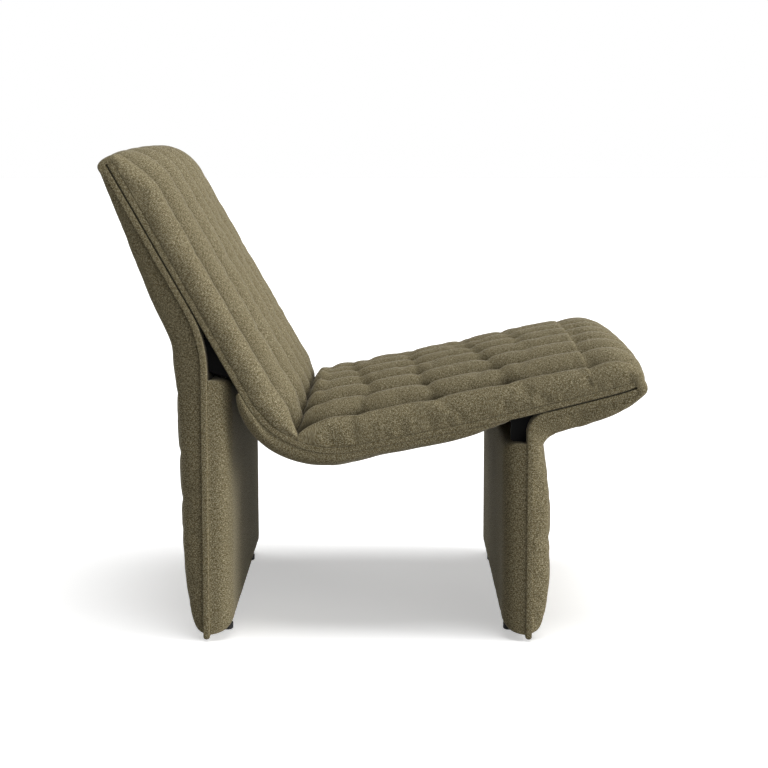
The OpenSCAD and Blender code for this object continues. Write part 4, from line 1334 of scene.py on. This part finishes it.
@dataclass(frozen=True)
class PanelWraps:
    """Fabric pulled round the three panels, whose edges show as flanges."""

    skin_t: float = 0.0006
    bulge: float = 0.0012
    slit_edge: tuple = (0.0022, 0.0030)
    pad_edge: tuple = (0.0007, 0.0009)
    # Painted shade on the slit side of a wrap's edge, from its face round the rounding.
    slit_shade: tuple = (0.0, 0.3, 0.8, 1.3, 1.6, 1.6)
    sink: float = 0.0005
    sink_reach: float = 0.010
    pitch: float = 0.009
    weld: float = 1e-6
    flat_at: tuple = (0.9, 0.45)
    foot_drop: float = 0.002
    foot_round: float = 0.005
    foot_from: float = 0.2
    foot_steps: int = 6
    lap_past: float = 0.02

    def section(self, slit_side: int) -> list:
        """Lays out the closed section of a wrap.

        Args:
            slit_side: 1 where the slit lies to the left of the panel's line, -1 to its right.

        Returns:
            Places across its thickness and its width, each with the painted shade of the slit there.
        """
        half, thick = LINES.width / 2 + self.bulge, LINES.face
        loop = []
        for side, y_way in ((1, 1), (1, -1), (-1, -1), (-1, 1)):
            edge_d, edge_y = self.slit_edge if side == slit_side else self.pad_edge
            turn = [(side * (thick - edge_d * (1 - math.sin(a))),
                     y_way * (half - edge_y * (1 - math.cos(a))), shade if side == slit_side else 0.0)
                    for a, shade in zip(np.linspace(0, math.pi / 2, len(self.slit_shade)),
                                        self.slit_shade)]
            flat = [(side * thick, y_way * half * k, turn[-1][2]) for k in self.flat_at]
            middle = [(0.0, y_way * half, 0.0)]
            if y_way == side:
                loop += middle + turn + flat + [(side * thick, 0.0, turn[-1][2])]
            else:
                loop += (turn + flat)[::-1]
        return loop

    def stations(self, track: Track, foot: float) -> list:
        """Lays out the places along a wrap, with their share of its thickness.

        Args:
            track: Line of the panel.
            foot: Distance along it to its foot, or below 0 where it has none.

        Returns:
            Pairs of distance and share.
        """
        places = np.linspace(0.0, track.length, round(track.length / self.pitch) + 1)
        if foot < 0:
            return [(s, 1.0) for s in places]
        way = 1 if foot > 0 else -1
        tip = foot + way * self.foot_drop
        rest = [s for s in places if abs(s - tip) > self.foot_round + self.pitch / 2]
        near = [(tip - way * e, foot_share(e, self.foot_round)) for e in
                self.foot_round * (1 - np.cos(np.linspace(self.foot_from, math.pi / 2, self.foot_steps)))]
        return sorted([(s, 1.0) for s in rest] + near)

    def wrap(self, name: str, node: str, track: Track, foot: float, slit_side: int, laps: tuple,
             cloth: bpy.types.Material) -> None:
        """Makes one wrap.

        Args:
            name: The piece's name.
            node: The CAD node that it stands for.
            track: Line of its panel.
            foot: Distance along it to its foot, or below 0 where it has none.
            slit_side: 1 where the slit lies to the left of the panel's line, -1 to its right.
            laps: Stretches along the line where the slit runs, as pairs of distances.
            cloth: The fabric's material.
        """
        loop = self.section(slit_side)
        loop.append(loop[0])
        stations = self.stations(track, foot)
        points = np.zeros((len(stations), len(loop), 3))
        shade = np.zeros((len(stations), len(loop)))
        ends = [e for e in (0.0, track.length) if abs(e - foot) > MERGE]
        for i, (s, share) in enumerate(stations):
            bare = ease(1 - min(abs(s - e) for e in ends) / self.sink_reach)
            sunk = (1 - share) * LINES.face + self.sink * bare
            lapped = any(a <= s <= b for a, b in laps)
            for j, (d, y, dark) in enumerate(loop):
                x, z = track.beside(s, d * share)
                points[i, j] = (x, y - math.copysign(sunk, y), z)
                # Painted shade along the slit, only where two panels lap.
                shade[i, j] = dark * lapped
        steps = [math.dist(a[:2], b[:2]) for a, b in zip(loop, loop[1:])]
        around = np.concatenate([[0.0], np.cumsum(steps)])
        along = np.array([s for s, _ in stations])
        uv = np.stack(np.broadcast_arrays(around[None, :], along[:, None]), axis=2)
        piece = grid_piece(name, points, uv)
        shade_piece(piece, shade)
        work = bmesh.new()
        work.from_mesh(piece.data)
        bmesh.ops.remove_doubles(work, verts=work.verts, dist=self.weld)
        bmesh.ops.holes_fill(work, edges=work.edges, sides=0)
        bmesh.ops.recalc_face_normals(work, faces=work.faces)
        work.to_mesh(piece.data)
        work.free()
        pick(piece)
        apply_modifier(piece, "SOLIDIFY", {"thickness": self.skin_t, "offset": -1})
        finish_piece(piece, (node,), cloth)

    def build(self, cloth: bpy.types.Material) -> None:
        """Makes the three wraps.

        Args:
            cloth: The fabric's material.
        """
        shell, rear, front = LINES.shell, LINES.rear_leg, LINES.front_leg
        back_lap = (0.0, rear.parts[0][0] + self.lap_past)
        lip_lap = (front.parts[0][0] + front.parts[1][0], front.length)
        shell_laps = (back_lap, (LINES.knee_s, shell.length))
        self.wrap("shell_flange", "shell_wrap", shell, -1.0, -1, shell_laps, cloth)
        self.wrap("rear_leg_flange", "rear_leg_wrap", rear, rear.length, 1, (back_lap,), cloth)
        self.wrap("front_leg_flange", "front_leg_wrap", front, 0.0, 1, (lip_lap,), cloth)


# ---------------------------------------------------------------- shader maths


class Wire:
    """A shader socket that Python expressions can work with."""

    def __init__(self, graph: "Graph", socket: bpy.types.NodeSocket) -> None:
        """Keeps the socket and its graph."""
        self.graph = graph
        self.socket = socket

    def other(self, out: object) -> "Wire":
        """Another output of the same node, by name or number."""
        return Wire(self.graph, self.socket.node.outputs[out])

    def sum_up(self, operation: str, *values: object) -> "Wire":
        """Adds a Math node.

        Args:
            operation: Its operation.
            values: Its inputs, as numbers or wires.

        Returns:
            Its result.
        """
        return self.graph.add("Math", {"operation": operation}, dict(enumerate(values)))

    def __add__(self, other: object) -> "Wire":
        """Adds."""
        return self.sum_up("ADD", self, other)

    __radd__ = __add__

    def __sub__(self, other: object) -> "Wire":
        """Subtracts."""
        return self.sum_up("SUBTRACT", self, other)

    def __rsub__(self, other: object) -> "Wire":
        """Subtracts from a number."""
        return self.sum_up("SUBTRACT", other, self)

    def __mul__(self, other: object) -> "Wire":
        """Multiplies."""
        return self.sum_up("MULTIPLY", self, other)

    __rmul__ = __mul__

    def wave(self, pitch: float) -> "Wire":
        """Sine of this length, between 0 and 1."""
        return self.sum_up("SINE", self * (2 * math.pi / pitch)) * 0.5 + 0.5


class Graph:
    """The nodes of a material or of the world."""

    def __init__(self, tree: bpy.types.NodeTree) -> None:
        """Keeps the node tree."""
        self.tree = tree

    def feed(self, node: bpy.types.Node, inputs: dict) -> None:
        """Sets or links sockets.

        Args:
            node: The node that has them.
            inputs: Values or wires of its sockets, by name or number.
        """
        for key, value in inputs.items():
            if isinstance(value, Wire):
                self.tree.links.new(value.socket, node.inputs[key])
            else:
                node.inputs[key].default_value = value

    def add(self, kind: str, settings: dict, inputs: dict, out: object = 0) -> Wire | None:
        """Adds any shader node.

        Args:
            kind: The node's type, without the words that all types start with.
            settings: Its settings, which are set first.
            inputs: Values or wires of its sockets, by name or number.
            out: The output that is wanted, by name or number.

        Returns:
            That output, or None for a node that has none.
        """
        made = self.tree.nodes.new("ShaderNode" + kind)
        for key, value in settings.items():
            setattr(made, key, value)
        self.feed(made, inputs)
        return Wire(self, made.outputs[out]) if len(made.outputs) else None

    def mix(self, factor: Wire, first: object, second: tuple) -> Wire:
        """Mixes two colours.

        Args:
            factor: Share of the second colour.
            first: The first colour, as three numbers or a wire.
            second: The second colour, as three numbers.

        Returns:
            The mixed colour.
        """
        start = first if isinstance(first, Wire) else (*first, 1.0)
        return self.add("Mix", {"data_type": "RGBA"}, {0: factor, 6: start, 7: (*second, 1.0)}, 2)

    def spread(self, value: Wire, low: float, high: float, top: float, kind: str = "LINEAR") -> Wire:
        """Spreads the values between two limits.

        Args:
            value: The values.
            low: The limit that becomes 0.
            high: The limit that becomes top.
            top: The result at the upper limit.
            kind: How the result rises between them.

        Returns:
            The result, which stays between 0 and top.
        """
        return self.add("MapRange", {"interpolation_type": kind},
                        {0: value, 1: low, 2: high, 3: 0.0, 4: top})

    def bump(self, height: Wire, distance: float, strength: float) -> Wire:
        """Turns a height from 0 to 1, where 1 is this distance, into a normal."""
        return self.add("Bump", {}, {"Height": height, "Distance": distance, "Strength": strength})

    def noise(self, place: Wire, scale: tuple, detail: float) -> Wire:
        """Adds a noise.

        Args:
            place: The coordinates.
            scale: How often it repeats in a metre, along each axis.
            detail: Its detail.

        Returns:
            The noise from 0 to 1.
        """
        put = self.add("Mapping", {}, {"Vector": place, "Scale": scale})
        return self.add("TexNoise", {}, {"Vector": put, "Scale": 1.0, "Detail": detail, "Roughness": 0.6})


def new_material(name: str, constants: dict) -> tuple:
    """Makes a material.

    Args:
        name: Its name.
        constants: Values of the shader's own sockets.

    Returns:
        The material, its graph and its shader.
    """
    material = bpy.data.materials.new(name)
    material.use_nodes = True
    graph = Graph(material.node_tree)
    shader = material.node_tree.nodes["Principled BSDF"]
    graph.feed(shader, constants)
    return material, graph, shader


# ---------------------------------------------------------------- finishes


@dataclass(frozen=True)
class WovenCloth:
    """Two-tone olive cloth in a tight plain weave, with slubs and a soft sheen.

    Sizes of the noises are how often they repeat in a metre. Spans are the limits between
    which a noise or a depth takes effect, and parts are how much of it a pattern makes up. The
    depth of a fold or a slit darkens the cloth towards painted_shade, as painted shade.
    """

    dark: tuple = (0.082, 0.065, 0.030)
    light: tuple = (0.398, 0.355, 0.233)
    warm: tuple = (0.200, 0.150, 0.065)
    # Colour of the painted shade in valleys, creases and slits
    painted_shade: tuple = (0.030, 0.024, 0.011)
    sheen: tuple = (0.95, 0.92, 0.82, 1.0)
    yarn: float = 0.0026
    grain_size: tuple = (820.0, 820.0, 1.0)
    weft_size: tuple = (230.0, 900.0, 1.0)
    warp_size: tuple = (900.0, 230.0, 1.0)
    cloud_size: tuple = (9.0, 9.0, 1.0)
    fleck_size: tuple = (700.0, 500.0, 1.0)
    grain_part: float = 0.50
    yarn_part: float = 0.36
    cloud_part: float = 0.06
    weave_part: float = 0.28
    tone_shift: float = 0.257
    grain_relief: float = 0.5
    yarn_relief: float = 0.3
    tone_span: tuple = (0.395, 0.63)
    fleck_span: tuple = (0.52, 0.70)
    fold_span: tuple = (0.03, 1.6)
    seam_span: tuple = (0.55, 1.2)
    fleck_share: float = 0.7
    shade: float = 0.72
    seam_shade: float = 0.34
    relief: float = 0.0007
    relief_strength: float = 0.45

    def make(self) -> bpy.types.Material:
        """Makes the material.

        Returns:
            The material, which reads the piece's cloth map and its fold_shade attribute, and paints shade
            where that is high.
        """
        material, graph, shader = new_material("woven_cloth", {
            "Roughness": 0.92, "Specular IOR Level": 0.2, "Sheen Weight": 0.14, "Sheen Roughness": 0.3,
            "Sheen Tint": self.sheen})
        place = graph.add("TexCoord", {}, {}, "UV")
        across = graph.add("SeparateXYZ", {}, {0: place})
        along = across.other(1)
        over = across.wave(self.yarn) * along.wave(self.yarn * 2)
        under = (1 - across.wave(self.yarn)) * (1 - along.wave(self.yarn * 2))
        weave = (over + under) * 0.5
        grain, weft, warp = (graph.noise(place, size, 0.0)
                             for size in (self.grain_size, self.weft_size, self.warp_size))
        clouds = graph.noise(place, self.cloud_size, 3.0)
        tone = (grain * self.grain_part + weft * self.yarn_part + warp * self.yarn_part
                + clouds * self.cloud_part + weave * self.weave_part - self.tone_shift)
        colour = graph.mix(graph.spread(tone, *self.tone_span, 1.0), self.dark, self.light)
        flecks = graph.noise(place, self.fleck_size, 1.0)
        colour = graph.mix(graph.spread(flecks, *self.fleck_span, self.fleck_share), colour, self.warm)
        # Painted shade: the fold_shade attribute darkens the cloth in valleys, creases and slits, where
        # shade falls.
        fold_shade = graph.add("Attribute", {"attribute_name": "fold_shade"}, {}, "Fac")
        painted_shade = graph.spread(fold_shade, *self.fold_span, self.shade)
        valley_shade = graph.spread(fold_shade, *self.seam_span, self.seam_shade, "SMOOTHSTEP")
        colour = graph.mix(painted_shade + valley_shade, colour, self.painted_shade)
        height = weave + grain * self.grain_relief + weft * self.yarn_relief
        graph.feed(shader, {"Base Color": colour,
                            "Normal": graph.bump(height, self.relief, self.relief_strength)})
        return material


@dataclass(frozen=True)
class Grained:
    """A plain finish with some grain: powder coat, plastic, plated steel or wood."""

    name: str
    colour: tuple
    second: tuple
    scale: tuple
    roughness: float
    depth: float
    metallic: float = 0.0
    gloss: float = 0.5
    mottle: float = 0.18
    relief_strength: float = 0.6

    def make(self) -> bpy.types.Material:
        """Makes the material.

        Returns:
            The material, which reads the piece's own coordinates.
        """
        material, graph, shader = new_material(
            self.name, {"Metallic": self.metallic, "Specular IOR Level": self.gloss})
        grain = graph.noise(graph.add("TexCoord", {}, {}, "Object"), self.scale, 3.0)
        rough = grain * self.mottle + (self.roughness - self.mottle / 2)
        graph.feed(shader, {"Base Color": graph.mix(grain, self.colour, self.second), "Roughness": rough,
                            "Normal": graph.bump(grain, self.depth, self.relief_strength)})
        return material


class Finish(Enum):
    """The finishes of the hard pieces."""

    # Black coat of the brackets and bolts, painted darker than a real coat so that it also stands in for
    # the shade in the notches.
    BLACK = Grained("black_coat_and_shade", (0.004, 0.004, 0.004), (0.008, 0.008, 0.008),
                    (900, 900, 900), 0.62, 0.0002, gloss=0.06)
    PLASTIC = Grained("moulded_plastic", (0.012, 0.012, 0.013), (0.020, 0.020, 0.021),
                      (500, 500, 500), 0.50, 0.0001, gloss=0.2)
    PLATED = Grained("plated_steel", (0.52, 0.53, 0.55), (0.66, 0.67, 0.69), (60, 60, 900),
                     0.34, 0.0001, metallic=1.0)
    PLYWOOD = Grained("birch_plywood", (0.52, 0.36, 0.19), (0.70, 0.53, 0.32), (14, 220, 14),
                      0.60, 0.0003)
    TIMBER = Grained("beech", (0.46, 0.29, 0.15), (0.60, 0.41, 0.23), (160, 10, 160), 0.58, 0.0003)


NODE_FINISHES = {
    Finish.BLACK: ("rear_bracket_left", "rear_bracket_right", "front_bracket_left",
                   "front_bracket_right", "bracket_bolts"),
    Finish.PLASTIC: ("rear_glides", "front_glides"),
    Finish.PLATED: ("rear_rail_screws", "front_rail_screws", "bracket_tee_nuts", "back_bolts",
                    "back_tee_nuts", "seat_bolts", "seat_tee_nuts", "glide_screws"),
    Finish.PLYWOOD: ("seat_shell", "rear_leg_panel", "front_leg_panel"),
    Finish.TIMBER: ("rear_foot_rail", "front_foot_rail"),
}


def dress_nodes(nodes: dict) -> None:
    """Gives every CAD node that stays its finish.

    Args:
        nodes: The frame's nodes by name.
    """
    for finish, names in NODE_FINISHES.items():
        material = finish.value.make()
        for name in names:
            mesh = nodes[name].data
            mesh.materials.clear()
            mesh.materials.append(material)
            LOG.info("%s: %s", name, material.name)


# ---------------------------------------------------------------- studio


@dataclass(frozen=True)
class Lamp:
    """A distant soft lamp.

    towards is the direction from the chair to the lamp. level is its light on a face that is
    turned to it, where 1 shows colours as written, and softness the angle that it spans, in
    degrees.
    """

    name: str
    towards: tuple
    level: float
    softness: float

    def hang(self) -> None:
        """Adds the lamp to the scene."""
        data = bpy.data.lights.new(self.name, "SUN")
        data.energy = self.level * math.pi
        data.angle = math.radians(self.softness)
        lamp = bpy.data.objects.new(self.name, data)
        bpy.context.scene.collection.objects.link(lamp)
        lamp.rotation_euler = Vector(self.towards).to_track_quat("Z", "Y").to_euler()


@dataclass(frozen=True)
class Studio:
    """Pale floor, white surroundings, soft lamps and the camera at the photograph's angle."""

    lens: float = 92.925
    sensor: float = 36.0
    sight: tuple = (0.05, 200.0)
    camera_at: tuple = (0.0179, -3.3436, 0.7857)
    pitch: float = math.radians(7.244)
    yaw: float = math.radians(0.115)
    world_light: float = 0.078
    floor_size: float = 60.0
    floor_glow: float = 0.45
    floor_seen: float = 0.95
    floor_lit: float = 0.40
    lamps: tuple = (Lamp("overhead", (0.10, -0.05, 1.0), 0.70, 45.0),
                    Lamp("right", (0.94, -0.22, 0.18), 0.78, 25.0),
                    Lamp("front", (0.70, -1.0, 0.25), 0.34, 60.0),
                    Lamp("behind", (-1.0, 1.0, 0.15), 0.30, 40.0))

    def see_rays(self, graph: Graph) -> Wire:
        """Marks the camera's rays and those that mirrors and glass send on.

        Args:
            graph: The graph that gets the nodes.

        Returns:
            1 for such rays.
        """
        path = graph.add("LightPath", {}, {}, "Is Camera Ray")
        sent_on = path.other("Is Glossy Ray") + path.other("Is Transmission Ray")
        return path.sum_up("MAXIMUM", path, sent_on)

    def make_world(self) -> None:
        """Lights the scene evenly, and shows white behind it."""
        world = bpy.data.worlds.new("studio")
        bpy.context.scene.world = world
        world.use_nodes = True
        world.node_tree.nodes.clear()
        graph = Graph(world.node_tree)
        light, white = (graph.add("Background", {}, {"Color": WHITE, "Strength": strength})
                        for strength in (self.world_light, 1.0))
        both = graph.add("MixShader", {}, {0: self.see_rays(graph), 1: light, 2: white})
        graph.add("OutputWorld", {}, {"Surface": both})

    def make_floor(self) -> None:
        """Lays a pale floor that keeps the shadow and looks white around it."""
        clear_selection()
        bpy.ops.mesh.primitive_plane_add(size=self.floor_size)
        floor = bpy.context.object
        floor.name = "floor"
        material = bpy.data.materials.new("pale_floor")
        material.use_nodes = True
        material.node_tree.nodes.clear()
        graph = Graph(material.node_tree)
        plain, seen = (graph.add("BsdfDiffuse", {}, {"Color": (v, v, v, 1.0)})
                       for v in (self.floor_lit, self.floor_seen))
        glow = graph.add("Emission", {}, {"Color": WHITE, "Strength": self.floor_glow})
        bright = graph.add("AddShader", {}, {0: seen, 1: glow})
        both = graph.add("MixShader", {}, {0: self.see_rays(graph), 1: plain, 2: bright})
        graph.add("OutputMaterial", {}, {"Surface": both})
        floor.data.materials.append(material)

    def make_camera(self) -> None:
        """Sets up the camera."""
        data = bpy.data.cameras.new("camera")
        data.lens = self.lens
        data.sensor_width = self.sensor
        data.sensor_fit = "HORIZONTAL"
        data.clip_start, data.clip_end = self.sight
        camera = bpy.data.objects.new("camera", data)
        bpy.context.scene.collection.objects.link(camera)
        camera.location = self.camera_at
        camera.rotation_euler = (math.pi / 2 - self.pitch, 0.0, self.yaw)
        bpy.context.scene.camera = camera

    def build(self) -> None:
        """Sets up the whole studio."""
        bpy.context.scene.view_settings.view_transform = "Standard"
        self.make_world()
        self.make_floor()
        for lamp in self.lamps:
            lamp.hang()
        self.make_camera()


def main() -> None:
    """Builds the chair and its studio."""
    logging.basicConfig(level=logging.INFO, format="%(name)s: %(message)s")
    Studio().build()
    cloth = WovenCloth().make()
    dress_nodes(frame["nodes"])
    for assembly in (RearRibbon(), FrontRibbon(), PlainPads(), PanelWraps()):
        assembly.build(cloth)
    clear_selection()


if __name__ == "__main__":
    main()
